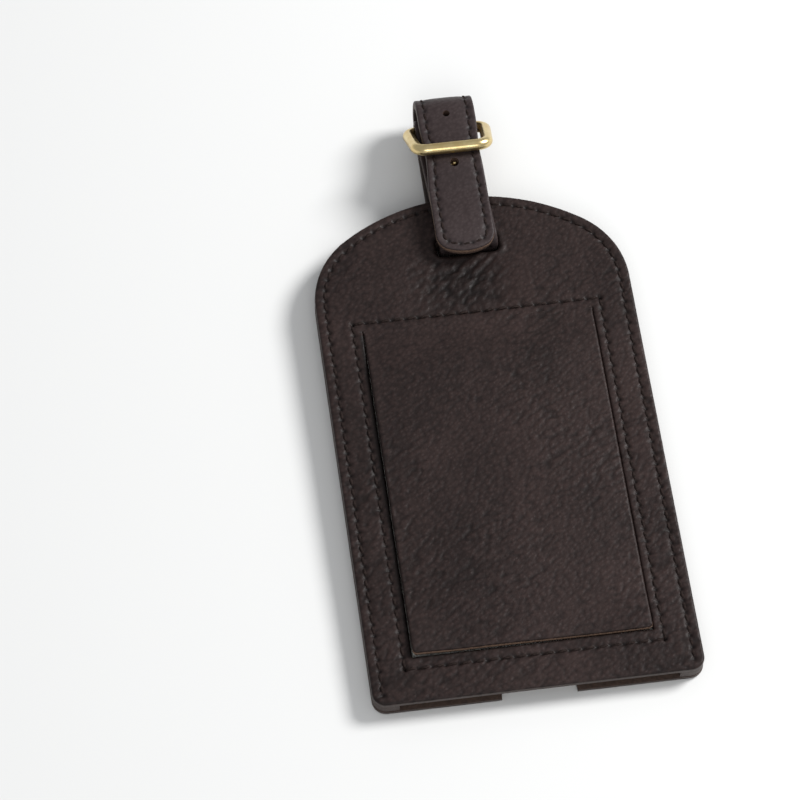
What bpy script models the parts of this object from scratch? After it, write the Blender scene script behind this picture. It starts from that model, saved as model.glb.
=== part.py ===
"""Leather luggage tag with a privacy flap over its window and a buckled strap.

The tag lies on its back.  In the tag's own plane X runs across, Y runs from the pocket's
mouth to the strap and Z comes out of the front.  The whole tag leans on the strap that
passes behind it, so the empty "tag" tilts that plane by a degree or so.
"""

from math import asin, atan2, cos, pi, radians, sin, sqrt

import bmesh
import bpy
from mathutils import Vector

MM = 0.001
GAP = 0.3 * MM                      # air kept between pieces that touch

# Tag body
BODY_WIDTH = 70.0 * MM
BODY_LENGTH = 122.0 * MM            # pocket mouth to the crown of the arch
ARCH_SIDE_RADIUS = 20.0 * MM
ARCH_TOP_RADIUS = 46.0 * MM
CORNER_RADIUS = 3.0 * MM            # the two corners at the pocket's mouth
ARC_STEPS = 9

# Layers, back to front
BACK_LEATHER = 1.2 * MM
BACK_BOARD = 0.6 * MM
CARD = 0.4 * MM
FILM = 0.3 * MM
FRONT_LEATHER = 1.4 * MM
BOARD_Z = BACK_LEATHER + GAP
CARD_Z = BOARD_Z + BACK_BOARD + GAP
FILM_Z = CARD_Z + CARD + GAP
FRONT_Z = FILM_Z + FILM + GAP
FACE_Z = FRONT_Z + FRONT_LEATHER    # front face of the tag

# Window, pocket and card
WINDOW_WIDTH = 51.0 * MM
WINDOW_BOTTOM = 10.2 * MM
WINDOW_TOP = 89.7 * MM
POCKET_HALF_WIDTH = 29.5 * MM
POCKET_TOP = 95.5 * MM
INSERT_MARGIN = 0.5 * MM            # film and board stop this far short of the pocket's sides
CARD_WIDTH = 56.0 * MM
CARD_BOTTOM = 5.5 * MM
CARD_LENGTH = 88.0 * MM
FILM_BOTTOM = 6.5 * MM
BOARD_BOTTOM = 2.0 * MM
NOTCH_RADIUS = 8.0 * MM             # thumb notch behind the card's lower end

# Flap that covers the window
FLAP_CLEARANCE = 0.35 * MM
FLAP_LINING = 0.5 * MM
FLAP_LEATHER = 1.2 * MM

# Stitching lies in a shallow groove
EDGE_SEAM_INSET = 2.2 * MM
WINDOW_SEAM_HALF_WIDTH = 27.5 * MM
WINDOW_SEAM_BOTTOM = 7.5 * MM
WINDOW_SEAM_TOP = 91.9 * MM
THREAD_WIDTH = 0.7 * MM
THREAD_THICKNESS = 0.5 * MM
THREAD_PROUD = 0.1 * MM
GROOVE_DEPTH = THREAD_THICKNESS - THREAD_PROUD + GAP
GROOVE_WIDTH = THREAD_WIDTH + 2 * GAP

# Strap
STRAP_WIDTH = 13.0 * MM
BUCKLED_WIDTH = 12.2 * MM           # the strap is squeezed where it passes under the buckle
SQUEEZE_REACH = 9.0 * MM            # and is back to its full width this far from the bar
STRAP_LINING = 0.6 * MM
STRAP_LEATHER = 1.0 * MM
STRAP_THICKNESS = STRAP_LINING + GAP + STRAP_LEATHER
SLOT_WIDTH = 14.8 * MM
SLOT_CORNER_RADIUS = 1.2 * MM
SLOT_BOTTOM = 107.0 * MM
SLOT_TOP = 111.4 * MM
SLOT_BEND_RADIUS = 1.0 * MM         # inner radius of the strap's turns through the slot
SLOT_BEND_Y = 111.2 * MM
UNDER_STRAP_Z = FACE_Z + GAP        # inner face of the buckle end where it lies on the tag
OVER_STRAP_Z = UNDER_STRAP_Z + STRAP_THICKNESS + GAP
HUMP_HEIGHT = 1.9 * MM              # rise of the free end over the prong
HUMP_START_Y = 120.5 * MM
HUMP_END_Y = 127.5 * MM
FOLD_Y = 141.0 * MM                 # centre of the fold at the far end
FOLD_TOP_Z = OVER_STRAP_Z + HUMP_HEIGHT
FOLD_INNER_RADIUS = (FOLD_TOP_Z + GAP) / 2
FOLD_CENTRE_Z = FOLD_TOP_Z - FOLD_INNER_RADIUS
UNDER_STRAP_SKEW_SLOT = 0.8 * MM    # the buckle end lies slightly askew under the free end
UNDER_STRAP_SKEW_HEEL = -0.5 * MM
HOLE_DIAMETER = 2.0 * MM
HOLE_Y = 127.3 * MM
HOLE_PITCH = 13.0 * MM
TIP_Y = 105.6 * MM                  # rounded end of the strap
TIP_SIDE_RADIUS = 4.0 * MM
TIP_END_RADIUS = 10.0 * MM
STRAP_SEAM_INSET = 1.7 * MM
STRAP_THREAD_THICKNESS = 0.4 * MM   # the strap's thread lies flush with the leather
STRAP_GROOVE_DEPTH = STRAP_THREAD_THICKNESS + GAP

# Where the strap bends
SWING_Y = 123.3 * MM
SWING_Z = OVER_STRAP_Z - GAP / 2
SWING_PLAY = 0.2 * MM
FREE_END_START_Y = 124.5 * MM
TIP_HINGE_Y = 119.4 * MM

# Buckle
WIRE_RADIUS = 1.3 * MM
HEEL_Y = 140.5 * MM
HEEL_HALF_WIDTH = 8.9 * MM
FRONT_BAR_Y = 130.1 * MM
FRONT_BAR_HALF_WIDTH = 7.85 * MM
FRONT_BAR_Z = FOLD_TOP_Z + STRAP_THICKNESS + GAP + WIRE_RADIUS
FRAME_CORNER_RADIUS = 2.6 * MM
WRAP_RADIUS = WIRE_RADIUS + GAP
HEEL_Z = UNDER_STRAP_Z + STRAP_LINING + GAP - WRAP_RADIUS
LINING_END_Y = 136.0 * MM
BUCKLE_SEAM_END_Y = 137.0 * MM
TAIL_END_Y = 133.5 * MM
PRONG_WIDTH = 1.5 * MM
PRONG_THICKNESS = 1.1 * MM
PRONG_SLOT_WIDTH = PRONG_WIDTH + 3 * GAP
PRONG_SLOT_START_Y = 135.2 * MM
PRONG_REST_Z = UNDER_STRAP_Z + STRAP_THICKNESS + GAP + PRONG_THICKNESS / 2
PRONG_SETTLE_Y = PRONG_SLOT_START_Y - 0.6 * MM   # here the prong comes to rest on the strap
PRONG_BEND_Y = HOLE_Y + 1.9 * MM    # and here it turns up through the hole
PRONG_BEND_RADIUS = 1.7 * MM
PRONG_TAPER = 0.35                  # share of its size lost over the last rings
PRONG_TAPER_RINGS = 6
PRONG_TIP_Y = 126.9 * MM
PRONG_TIP_Z = 12.3 * MM

# The tag's plane leans on the strap's back run, which starts at SLOT_BEND_Y
TILT = asin((GAP + STRAP_THICKNESS) / SLOT_BEND_Y)
LOWEST_Y = -FACE_Z * sin(TILT)
HIGHEST_Y = (FOLD_Y * cos(TILT) - FOLD_CENTRE_Z * sin(TILT)
             + FOLD_INNER_RADIUS + STRAP_THICKNESS)
CENTRE_Y = (LOWEST_Y + HIGHEST_Y) / 2

DARK_LEATHER = ((0.045, 0.030, 0.028), 0.55, 0.0)
STRAP_FINISH = ((0.060, 0.045, 0.043), 0.50, 0.0)
LINING_FINISH = ((0.070, 0.045, 0.035), 0.75, 0.0)
THREAD_FINISH = ((0.030, 0.020, 0.018), 0.80, 0.0)
BOARD_FINISH = ((0.35, 0.28, 0.20), 0.90, 0.0)
CARD_FINISH = ((0.80, 0.77, 0.68), 0.80, 0.0)
FILM_FINISH = ((0.85, 0.88, 0.90), 0.10, 0.0)
BRASS_FINISH = ((0.78, 0.62, 0.30), 0.22, 1.0)


# ---------------------------------------------------------------- scene and objects

def clear_scene():
    for thing in list(bpy.data.objects):
        bpy.data.objects.remove(thing, do_unlink=True)


def empty(name, parent=None, location=(0.0, 0.0, 0.0), rotation=(0.0, 0.0, 0.0)):
    """An empty whose location is given in the tag's plane."""
    thing = bpy.data.objects.new(name, None)
    thing.empty_display_size = 5 * MM
    bpy.context.scene.collection.objects.link(thing)
    thing["tag_location"] = location
    thing.parent = parent
    base = Vector(parent["tag_location"]) if parent else Vector((0.0, 0.0, 0.0))
    thing.location = Vector(location) - base
    thing.rotation_euler = rotation
    return thing


def finish_material(name, finish):
    colour, roughness, metallic = finish
    material = bpy.data.materials.new(name)
    material.use_nodes = True
    shader = material.node_tree.nodes["Principled BSDF"]
    shader.inputs["Base Color"].default_value = (*colour, 1.0)
    shader.inputs["Roughness"].default_value = roughness
    shader.inputs["Metallic"].default_value = metallic
    material.diffuse_color = (*colour, 1.0)
    return material


def mesh_object(name, verts, faces, parent, finish=None, smooth=False):
    """A closed mesh given in the tag's plane, hung on a joint's empty."""
    mesh = bpy.data.meshes.new(name)
    mesh.from_pydata([tuple(v) for v in verts], [], faces)
    shell = bmesh.new()
    shell.from_mesh(mesh)
    bmesh.ops.recalc_face_normals(shell, faces=shell.faces[:])
    shell.to_mesh(mesh)
    shell.free()
    thing = bpy.data.objects.new(name, mesh)
    bpy.context.scene.collection.objects.link(thing)
    thing.parent = parent
    thing.location = -Vector(parent["tag_location"])
    if finish:
        mesh.materials.append(finish_material(name, finish))
    if smooth:
        mesh.shade_smooth()
        mesh.set_sharp_from_angle(angle=radians(35))
    return thing


def prism(name, outline, low, high, parent, finish=None):
    """An outline in XY, extruded from one height to another."""
    count = len(outline)
    verts = [(x, y, low) for x, y in outline] + [(x, y, high) for x, y in outline]
    faces = [tuple(reversed(range(count))), tuple(range(count, 2 * count))]
    for i in range(count):
        j = (i + 1) % count
        faces.append((i, j, count + j, count + i))
    return mesh_object(name, verts, faces, parent, finish)


def ring_prism(name, outer, inner, low, high, parent, finish=None):
    """The ring between two outlines with the same number of points."""
    count = len(outer)
    verts = []
    for height in (low, high):
        verts += [(x, y, height) for x, y in outer]
        verts += [(x, y, height) for x, y in inner]
    faces = []
    for i in range(count):
        j = (i + 1) % count
        faces.append((i, j, count + j, count + i))
        faces.append((2 * count + i, 3 * count + i, 3 * count + j, 2 * count + j))
        faces.append((i, 2 * count + i, 2 * count + j, j))
        faces.append((count + i, count + j, 3 * count + j, 3 * count + i))
    return mesh_object(name, verts, faces, parent, finish)


def sweep(name, rings, parent, finish, closed=False):
    """A skin over rings of points; its ends are capped unless it closes on itself."""
    size = len(rings[0])
    count = len(rings)
    verts = [point for ring in rings for point in ring]
    faces = []
    for k in range(count if closed else count - 1):
        following = (k + 1) % count
        for i in range(size):
            j = (i + 1) % size
            faces.append((k * size + i, k * size + j, following * size + j, following * size + i))
    if not closed:
        faces.append(tuple(range(size)))
        faces.append(tuple(reversed(range((count - 1) * size, count * size))))
    return mesh_object(name, verts, faces, parent, finish, smooth=True)


def cut(thing, cutter):
    """Take the cutter out of a piece; the cutter itself is only a guide."""
    cutter.hide_render = True
    cutter.display_type = 'WIRE'
    modifier = thing.modifiers.new("cut_" + cutter.name, 'BOOLEAN')
    modifier.operation = 'DIFFERENCE'
    modifier.solver = 'EXACT'
    modifier.object = cutter


# ---------------------------------------------------------------- outlines

def arc(centre_x, centre_y, radius, start, end, steps=ARC_STEPS):
    """Points of an arc, both ends included; angles in radians."""
    points = []
    for k in range(steps + 1):
        angle = start + (end - start) * k / steps
        points.append((centre_x + radius * cos(angle), centre_y + radius * sin(angle)))
    return points


def arch(half_width, crown, side_radius, top_radius, inset=0.0):
    """A three-centred arch from its right springing to its left one."""
    side_x = half_width - side_radius
    drop = sqrt((top_radius - side_radius) ** 2 - side_x ** 2)
    top_y = crown - top_radius
    side_y = top_y + drop
    joint_angle = atan2(drop, side_x)
    side = side_radius - inset
    points = arc(side_x, side_y, side, 0.0, joint_angle)
    points += arc(0.0, top_y, top_radius - inset, joint_angle, pi - joint_angle)[1:]
    points += arc(-side_x, side_y, side, pi - joint_angle, pi)[1:]
    return points


def body_arch(inset=0.0):
    return arch(BODY_WIDTH / 2, BODY_LENGTH, ARCH_SIDE_RADIUS, ARCH_TOP_RADIUS, inset)


def body_outline():
    half = BODY_WIDTH / 2 - CORNER_RADIUS
    points = body_arch()
    points += arc(-half, CORNER_RADIUS, CORNER_RADIUS, pi, 1.5 * pi, 4)
    points += arc(half, CORNER_RADIUS, CORNER_RADIUS, 1.5 * pi, 2 * pi, 4)
    return points


def rectangle(half_width, bottom, top):
    return [(-half_width, bottom), (half_width, bottom), (half_width, top), (-half_width, top)]


def slot_outline():
    radius = SLOT_CORNER_RADIUS
    reach = SLOT_WIDTH / 2 - radius
    low, high = SLOT_BOTTOM + radius, SLOT_TOP - radius
    points = []
    for quarter, (x, y) in enumerate(((reach, high), (-reach, high), (-reach, low), (reach, low))):
        points += arc(x, y, radius, quarter * pi / 2, (quarter + 1) * pi / 2, 4)
    return points


def edge_seam(width):
    """A strip that follows the edge up one side, over the arch and down the other."""
    start = EDGE_SEAM_INSET
    sides = []
    for offset in (-width / 2, width / 2):
        inset = EDGE_SEAM_INSET + offset
        half = BODY_WIDTH / 2 - inset
        end = start + (GROOVE_WIDTH - width) / 2
        sides.append([(half, end)] + body_arch(inset) + [(-half, end)])
    return sides[0] + sides[1][::-1]


def window_seam(name, width, low, high, parent, finish=None):
    half = WINDOW_SEAM_HALF_WIDTH
    outer = rectangle(half + width / 2, WINDOW_SEAM_BOTTOM - width / 2, WINDOW_SEAM_TOP + width / 2)
    inner = rectangle(half - width / 2, WINDOW_SEAM_BOTTOM + width / 2, WINDOW_SEAM_TOP - width / 2)
    return ring_prism(name, outer, inner, low, high, parent, finish)


# ---------------------------------------------------------------- tag body

def make_front(tag):
    front = prism("front_leather", body_outline(), FRONT_Z, FACE_Z, tag, DARK_LEATHER)
    past = GAP + FRONT_LEATHER
    window = rectangle(WINDOW_WIDTH / 2, WINDOW_BOTTOM, WINDOW_TOP)
    cut(front, prism("window_cutter", window, FRONT_Z - past, FACE_Z + past, tag))
    cut(front, prism("front_slot_cutter", slot_outline(), FRONT_Z - past, FACE_Z + past, tag))
    groove = FACE_Z - GROOVE_DEPTH
    cut(front, prism("edge_groove_cutter", edge_seam(GROOVE_WIDTH), groove, FACE_Z + past, tag))
    cut(front, window_seam("window_groove_cutter", GROOVE_WIDTH, groove, FACE_Z + past, tag))
    low, high = FACE_Z + THREAD_PROUD - THREAD_THICKNESS, FACE_Z + THREAD_PROUD
    prism("edge_thread", edge_seam(THREAD_WIDTH), low, high, tag, THREAD_FINISH)
    window_seam("window_thread", THREAD_WIDTH, low, high, tag, THREAD_FINISH)


def make_filler(tag):
    """The layer between front and back that leaves the card pocket open."""
    low, high = BACK_LEATHER + GAP, FRONT_Z - GAP
    filler = prism("filler_panel", body_outline(), low, high, tag, DARK_LEATHER)
    past = high - low
    pocket = rectangle(POCKET_HALF_WIDTH, -past, POCKET_TOP)
    cut(filler, prism("pocket_cutter", pocket, low - past, high + past, tag))
    cut(filler, prism("filler_slot_cutter", slot_outline(), low - past, high + past, tag))


def make_back(tag):
    back = prism("back_leather", body_outline(), 0.0, BACK_LEATHER, tag, DARK_LEATHER)
    past = BACK_LEATHER
    top = BOARD_Z + BACK_BOARD + GAP / 2
    notch = arc(0.0, 0.0, NOTCH_RADIUS, 0.0, pi, 2 * ARC_STEPS)
    notch += [(-NOTCH_RADIUS, -past), (NOTCH_RADIUS, -past)]
    notch_cutter = prism("notch_cutter", notch, -past, top, tag)
    cut(back, notch_cutter)
    cut(back, prism("back_slot_cutter", slot_outline(), -past, 2 * past, tag))
    cut(back, prism("back_groove_cutter", edge_seam(GROOVE_WIDTH), -past, GROOVE_DEPTH, tag))
    sunk = THREAD_THICKNESS - THREAD_PROUD
    prism("edge_bobbin_thread", edge_seam(THREAD_WIDTH), THREAD_PROUD / 2, sunk, tag, THREAD_FINISH)

    insert = rectangle(POCKET_HALF_WIDTH - INSERT_MARGIN, BOARD_BOTTOM, POCKET_TOP - INSERT_MARGIN)
    board = prism("back_board", insert, BOARD_Z, BOARD_Z + BACK_BOARD, tag, BOARD_FINISH)
    cut(board, notch_cutter)


def make_window_film(tag):
    sheet = rectangle(POCKET_HALF_WIDTH - INSERT_MARGIN, FILM_BOTTOM, POCKET_TOP - INSERT_MARGIN)
    prism("window_film", sheet, FILM_Z, FILM_Z + FILM, tag, FILM_FINISH)


def make_card(tag):
    slide = empty("card_slide_axis", tag, (0.0, CARD_BOTTOM, CARD_Z))
    sheet = rectangle(CARD_WIDTH / 2, CARD_BOTTOM, CARD_BOTTOM + CARD_LENGTH)
    prism("address_card", sheet, CARD_Z, CARD_Z + CARD, slide, CARD_FINISH)


def make_flap(tag):
    lining_z = FILM_Z + FILM + GAP
    leather_z = lining_z + FLAP_LINING + GAP
    top = leather_z + FLAP_LEATHER
    hinge = empty("flap_hinge_axis", tag, (0.0, WINDOW_TOP - FLAP_CLEARANCE, top))
    sheet = rectangle(WINDOW_WIDTH / 2 - FLAP_CLEARANCE, WINDOW_BOTTOM + FLAP_CLEARANCE,
                      WINDOW_TOP - FLAP_CLEARANCE)
    prism("flap_lining", sheet, lining_z, lining_z + FLAP_LINING, hinge, LINING_FINISH)
    prism("flap_leather", sheet, leather_z, top, hinge, DARK_LEATHER)


# ---------------------------------------------------------------- strap

def smooth_step(value, start, end):
    t = min(max((value - start) / (end - start), 0.0), 1.0)
    return t * t * (3 - 2 * t)


def line(start, end, steps):
    """Points from start up to, but not including, end."""
    return [(start[0] + (end[0] - start[0]) * k / steps,
             start[1] + (end[1] - start[1]) * k / steps) for k in range(steps)]


def anchor_path():
    """Inner face of the strap where it passes through the slot, from back to front, as (y, z)."""
    end_y = SWING_Y - SWING_PLAY
    back = -GAP
    points = line((end_y, back), (SLOT_BEND_Y, back), 4)
    points += arc(SLOT_BEND_Y, back + SLOT_BEND_RADIUS, SLOT_BEND_RADIUS, -pi / 2, -pi, 5)
    front_z = UNDER_STRAP_Z - SLOT_BEND_RADIUS
    points += arc(SLOT_BEND_Y, front_z, SLOT_BEND_RADIUS, pi, pi / 2, 5)
    points += line((SLOT_BEND_Y, UNDER_STRAP_Z), (end_y, UNDER_STRAP_Z), 4)[1:]
    points.append((end_y, UNDER_STRAP_Z))
    return points


def hump_z(y):
    """Inner face of the free end: it rises from the tag over the prong."""
    return OVER_STRAP_Z + HUMP_HEIGHT * smooth_step(y, HUMP_START_Y, HUMP_END_Y)


def loop_path():
    """Inner face of the free end, from the front over the fold to the back run."""
    steps = 12
    points = []
    for k in range(steps):
        y = FREE_END_START_Y + (FOLD_Y - FREE_END_START_Y) * k / steps
        points.append((y, hump_z(y)))
    points += arc(FOLD_Y, FOLD_CENTRE_Z, FOLD_INNER_RADIUS, pi / 2, -pi / 2, 14)
    points += line((FOLD_Y, -GAP), (SWING_Y + SWING_PLAY, -GAP), 4)[1:]
    points.append((SWING_Y + SWING_PLAY, -GAP))
    return points


def buckle_end_path():
    """Inner face of the leather that runs to the heel bar, wraps it and turns back."""
    inner_z = UNDER_STRAP_Z + STRAP_LINING + GAP
    tail_z = UNDER_STRAP_Z - GAP
    wrap_bottom = HEEL_Z - WRAP_RADIUS
    points = line((SWING_Y + SWING_PLAY, inner_z), (HEEL_Y, inner_z), 5)
    points += arc(HEEL_Y, HEEL_Z, WRAP_RADIUS, pi / 2, -pi / 2, 12)
    rise = 5
    for k in range(1, rise + 1):
        y = HEEL_Y + (TAIL_END_Y + MM - HEEL_Y) * k / rise
        points.append((y, wrap_bottom + (tail_z - wrap_bottom) * smooth_step(k, 0, rise)))
    points.append((TAIL_END_Y, tail_z))
    return points


def free_end_width(y):
    """The strap is narrower under the buckle's front bar."""
    squeeze = 1.0 - smooth_step(abs(y - FRONT_BAR_Y), 0.0, SQUEEZE_REACH)
    return STRAP_WIDTH - (STRAP_WIDTH - BUCKLED_WIDTH) * squeeze


def skew(y):
    """Sideways offset of the buckle end: askew from the slot to the heel bar."""
    share = (y - SLOT_BEND_Y) / (HEEL_Y - SLOT_BEND_Y)
    return UNDER_STRAP_SKEW_SLOT + (UNDER_STRAP_SKEW_HEEL - UNDER_STRAP_SKEW_SLOT) * share


def plain_section(half, low, high):
    return [(-half, low), (half, low), (half, high), (-half, high)]


def grooved_section(half, low, high):
    """A strap's outer layer, with a stitching groove along each edge of its outer face."""
    outer = half - STRAP_SEAM_INSET + GROOVE_WIDTH / 2
    inner = outer - GROOVE_WIDTH
    floor = high - STRAP_GROOVE_DEPTH
    right = [(outer, high), (outer, floor), (inner, floor), (inner, high)]
    left = [(-x, height) for x, height in reversed(right)]
    return [(-half, low), (half, low), (half, high)] + right + left + [(-half, high)]


def ribbon_rings(path, low, high, width=None, offset=None, section=plain_section):
    """Rings of a ribbon between two heights above a path in the YZ plane.

    Heights are measured to the left of the path's direction, seen from +X.
    """
    rings = []
    last = len(path) - 1
    for k, (y, z) in enumerate(path):
        before, after = path[max(k - 1, 0)], path[min(k + 1, last)]
        along = Vector((after[0] - before[0], after[1] - before[1])).normalized()
        half = (width(y) if width else STRAP_WIDTH) / 2
        centre = offset(k, y) if offset else 0.0
        rings.append([(centre + x, y - along.y * height, z + along.x * height)
                      for x, height in section(half, low, high)])
    return rings


def strap_threads(name, path, parent, width=None, offset=None):
    """The two rows of stitching along the strap's edges."""
    for side, label in ((-1, "left"), (1, "right")):
        def seam_offset(k, y, side=side):
            half = (width(y) if width else STRAP_WIDTH) / 2
            return (offset(k, y) if offset else 0.0) + side * (half - STRAP_SEAM_INSET)

        rings = ribbon_rings(path, STRAP_THICKNESS - STRAP_THREAD_THICKNESS, STRAP_THICKNESS,
                             lambda y: THREAD_WIDTH, seam_offset)
        sweep("%s_thread_%s" % (name, label), rings, parent, THREAD_FINISH)


def make_strap_anchor(tag):
    path = anchor_path()
    last = len(path) - 1

    def offset(k, y):
        straight_back = 4
        if k <= straight_back:
            return UNDER_STRAP_SKEW_SLOT * k / straight_back
        return skew(y) if k > last - straight_back else UNDER_STRAP_SKEW_SLOT

    lining = ribbon_rings(path, 0.0, STRAP_LINING, offset=offset)
    leather = ribbon_rings(path, STRAP_LINING + GAP, STRAP_THICKNESS, offset=offset,
                           section=grooved_section)
    sweep("strap_anchor_lining", lining, tag, LINING_FINISH)
    sweep("strap_anchor_leather", leather, tag, STRAP_FINISH)
    strap_threads("strap_anchor", path, tag, offset=offset)


def make_strap_loop(swing):
    path = loop_path()
    lining = sweep("strap_loop_lining", ribbon_rings(path, 0.0, STRAP_LINING, free_end_width),
                   swing, LINING_FINISH)
    rings = ribbon_rings(path, STRAP_LINING + GAP, STRAP_THICKNESS, free_end_width,
                         section=grooved_section)
    leather = sweep("strap_loop_leather", rings, swing, STRAP_FINISH)
    strap_threads("strap_loop", path, swing, width=free_end_width)
    for k, centre in enumerate((HOLE_Y, HOLE_Y + HOLE_PITCH)):
        outline = arc(0.0, centre, HOLE_DIAMETER / 2, 0.0, 2 * pi, 16)[:-1]
        drill = prism("hole_cutter_%d" % k, outline, FOLD_CENTRE_Z, 2 * FOLD_TOP_Z, swing)
        cut(lining, drill)
        cut(leather, drill)


def make_strap_buckle_end(swing):
    def offset(_, y):
        return skew(y)

    start = (SWING_Y + SWING_PLAY, UNDER_STRAP_Z)
    straight = [start, (LINING_END_Y, UNDER_STRAP_Z)]
    sweep("strap_buckle_lining", ribbon_rings(straight, 0.0, STRAP_LINING, offset=offset),
          swing, LINING_FINISH)
    rings = ribbon_rings(buckle_end_path(), 0.0, STRAP_LEATHER, offset=offset,
                         section=grooved_section)
    leather = sweep("strap_buckle_leather", rings, swing, STRAP_FINISH)
    seam = [start, (BUCKLE_SEAM_END_Y, UNDER_STRAP_Z)]
    strap_threads("strap_buckle", seam, swing, offset=offset)
    reach = HEEL_Y + 2 * WRAP_RADIUS + STRAP_LEATHER
    opening = rectangle(PRONG_SLOT_WIDTH / 2, PRONG_SLOT_START_Y, reach)
    cut(leather, prism("prong_slot_cutter", opening, 0.0, PRONG_REST_Z, swing))


def tip_arch(inset=0.0):
    """The strap's rounded end, pointing down."""
    crown = arch(STRAP_WIDTH / 2, -TIP_Y, TIP_SIDE_RADIUS, TIP_END_RADIUS, inset)
    return [(x, -y) for x, y in crown]


def tip_outline():
    half = STRAP_WIDTH / 2
    end = TIP_HINGE_Y - SWING_PLAY
    return tip_arch() + [(-half, end), (half, end)]


def make_strap_tip(tag):
    hinge = empty("strap_tip_axis", tag, (0.0, TIP_HINGE_Y, OVER_STRAP_Z))
    low = OVER_STRAP_Z
    prism("strap_tip_lining", tip_outline(), low, low + STRAP_LINING, hinge, LINING_FINISH)
    leather_z = low + STRAP_LINING + GAP
    top = low + STRAP_THICKNESS
    leather = prism("strap_tip_leather", tip_outline(), leather_z, top, hinge, STRAP_FINISH)

    def seam(width, run_out=0.0):
        outer, inner = (tip_arch(STRAP_SEAM_INSET + side * width / 2) for side in (-1, 1))
        end = TIP_HINGE_Y - SWING_PLAY + run_out
        strip = [(outer[0][0], end)] + outer + [(outer[-1][0], end)]
        return strip + [(inner[-1][0], end)] + inner[::-1] + [(inner[0][0], end)]

    groove = seam(GROOVE_WIDTH, run_out=GAP)
    cut(leather, prism("tip_groove_cutter", groove, top - GROOVE_DEPTH, top + MM, hinge))
    thread_low = top + THREAD_PROUD - THREAD_THICKNESS
    prism("strap_tip_thread", seam(THREAD_WIDTH), thread_low, top + THREAD_PROUD, hinge,
          THREAD_FINISH)


# ---------------------------------------------------------------- buckle

def frame_path():
    """Centre line of the buckle's wire as (x, share): share 0 on the heel bar, 1 on the front."""
    length = sqrt((HEEL_Y - FRONT_BAR_Y) ** 2 + (FRONT_BAR_Z - HEEL_Z) ** 2)
    corners = [(HEEL_HALF_WIDTH, 0.0), (FRONT_BAR_HALF_WIDTH, length),
               (-FRONT_BAR_HALF_WIDTH, length), (-HEEL_HALF_WIDTH, 0.0)]
    points = []
    for k, corner in enumerate(corners):
        here = Vector(corner)
        before = (Vector(corners[k - 1]) - here).normalized()
        after = (Vector(corners[(k + 1) % 4]) - here).normalized()
        half_angle = before.angle(after) / 2
        from_corner = FRAME_CORNER_RADIUS / sin(half_angle)
        centre = here + (before + after).normalized() * from_corner
        start = here + before * FRAME_CORNER_RADIUS * cos(half_angle) / sin(half_angle)
        end = here + after * FRAME_CORNER_RADIUS * cos(half_angle) / sin(half_angle)
        first, final = start - centre, end - centre
        turn = first.angle_signed(final)
        steps = 5
        for s in range(steps + 1):
            angle = -turn * s / steps
            spoke = Vector((first.x * cos(angle) - first.y * sin(angle),
                            first.x * sin(angle) + first.y * cos(angle)))
            points.append(centre + spoke)
    return points, length


def make_buckle_frame(swing):
    hinge = empty("buckle_axis", swing, (0.0, HEEL_Y, HEEL_Z))
    path, length = frame_path()
    run = Vector((0.0, FRONT_BAR_Y - HEEL_Y, FRONT_BAR_Z - HEEL_Z)) / length
    across = Vector((1.0, 0.0, 0.0))
    upright = across.cross(run)
    sides = 12
    rings = []
    for k, point in enumerate(path):
        before, after = path[k - 1], path[(k + 1) % len(path)]
        along = (after - before).normalized()
        outward = across * along.y - run * along.x
        centre = Vector((0.0, HEEL_Y, HEEL_Z)) + across * point.x + run * point.y
        ring = []
        for s in range(sides):
            angle = 2 * pi * s / sides
            ring.append(centre + (outward * cos(angle) + upright * sin(angle)) * WIRE_RADIUS)
        rings.append(ring)
    sweep("buckle_frame", rings, hinge, BRASS_FINISH, closed=True)


def prong_path():
    """Centre line of the prong: round the heel bar, along the strap and up through its hole."""
    ring_radius = WRAP_RADIUS + PRONG_THICKNESS / 2
    points = arc(HEEL_Y, HEEL_Z, ring_radius, -0.7 * pi, 0.5 * pi, 12)
    top_z = HEEL_Z + ring_radius
    settle_steps = 5
    for k in range(1, settle_steps + 1):
        share = k / settle_steps
        points.append((HEEL_Y + (PRONG_SETTLE_Y - HEEL_Y) * share,
                       top_z + (PRONG_REST_Z - top_z) * smooth_step(share, 0.0, 1.0)))
    points += line((PRONG_SETTLE_Y, PRONG_REST_Z), (PRONG_BEND_Y, PRONG_REST_Z), 3)[1:]
    points += arc(PRONG_BEND_Y, PRONG_REST_Z + PRONG_BEND_RADIUS, PRONG_BEND_RADIUS,
                  -pi / 2, -0.95 * pi, 5)
    points.append((PRONG_TIP_Y, PRONG_TIP_Z))
    return points


def make_prong(swing):
    hinge = empty("prong_axis", swing, (0.0, HEEL_Y, HEEL_Z))
    path = prong_path()
    last = len(path) - 1
    sides = 10
    rings = []
    for k, (y, z) in enumerate(path):
        before, after = path[max(k - 1, 0)], path[min(k + 1, last)]
        along = Vector((after[0] - before[0], after[1] - before[1])).normalized()
        taper = 1.0 - PRONG_TAPER * smooth_step(k, last - PRONG_TAPER_RINGS, last)
        ring = []
        for s in range(sides):
            angle = 2 * pi * s / sides
            x = PRONG_WIDTH / 2 * taper * cos(angle)
            height = PRONG_THICKNESS / 2 * taper * sin(angle)
            ring.append((x, y + along.y * height, z - along.x * height))
        rings.append(ring)
    sweep("prong", rings, hinge, BRASS_FINISH)


def build():
    clear_scene()
    tag = empty("tag", location=(0.0, 0.0, 0.0), rotation=(TILT, 0.0, 0.0))
    tag.location = (0.0, -CENTRE_Y, 0.0)
    make_back(tag)
    make_filler(tag)
    make_front(tag)
    make_window_film(tag)
    make_card(tag)
    make_flap(tag)
    make_strap_anchor(tag)
    make_strap_tip(tag)
    swing = empty("strap_swing_axis", tag, (0.0, SWING_Y, SWING_Z))
    make_strap_loop(swing)
    make_strap_buckle_end(swing)
    make_buckle_frame(swing)
    make_prong(swing)


build()
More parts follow.
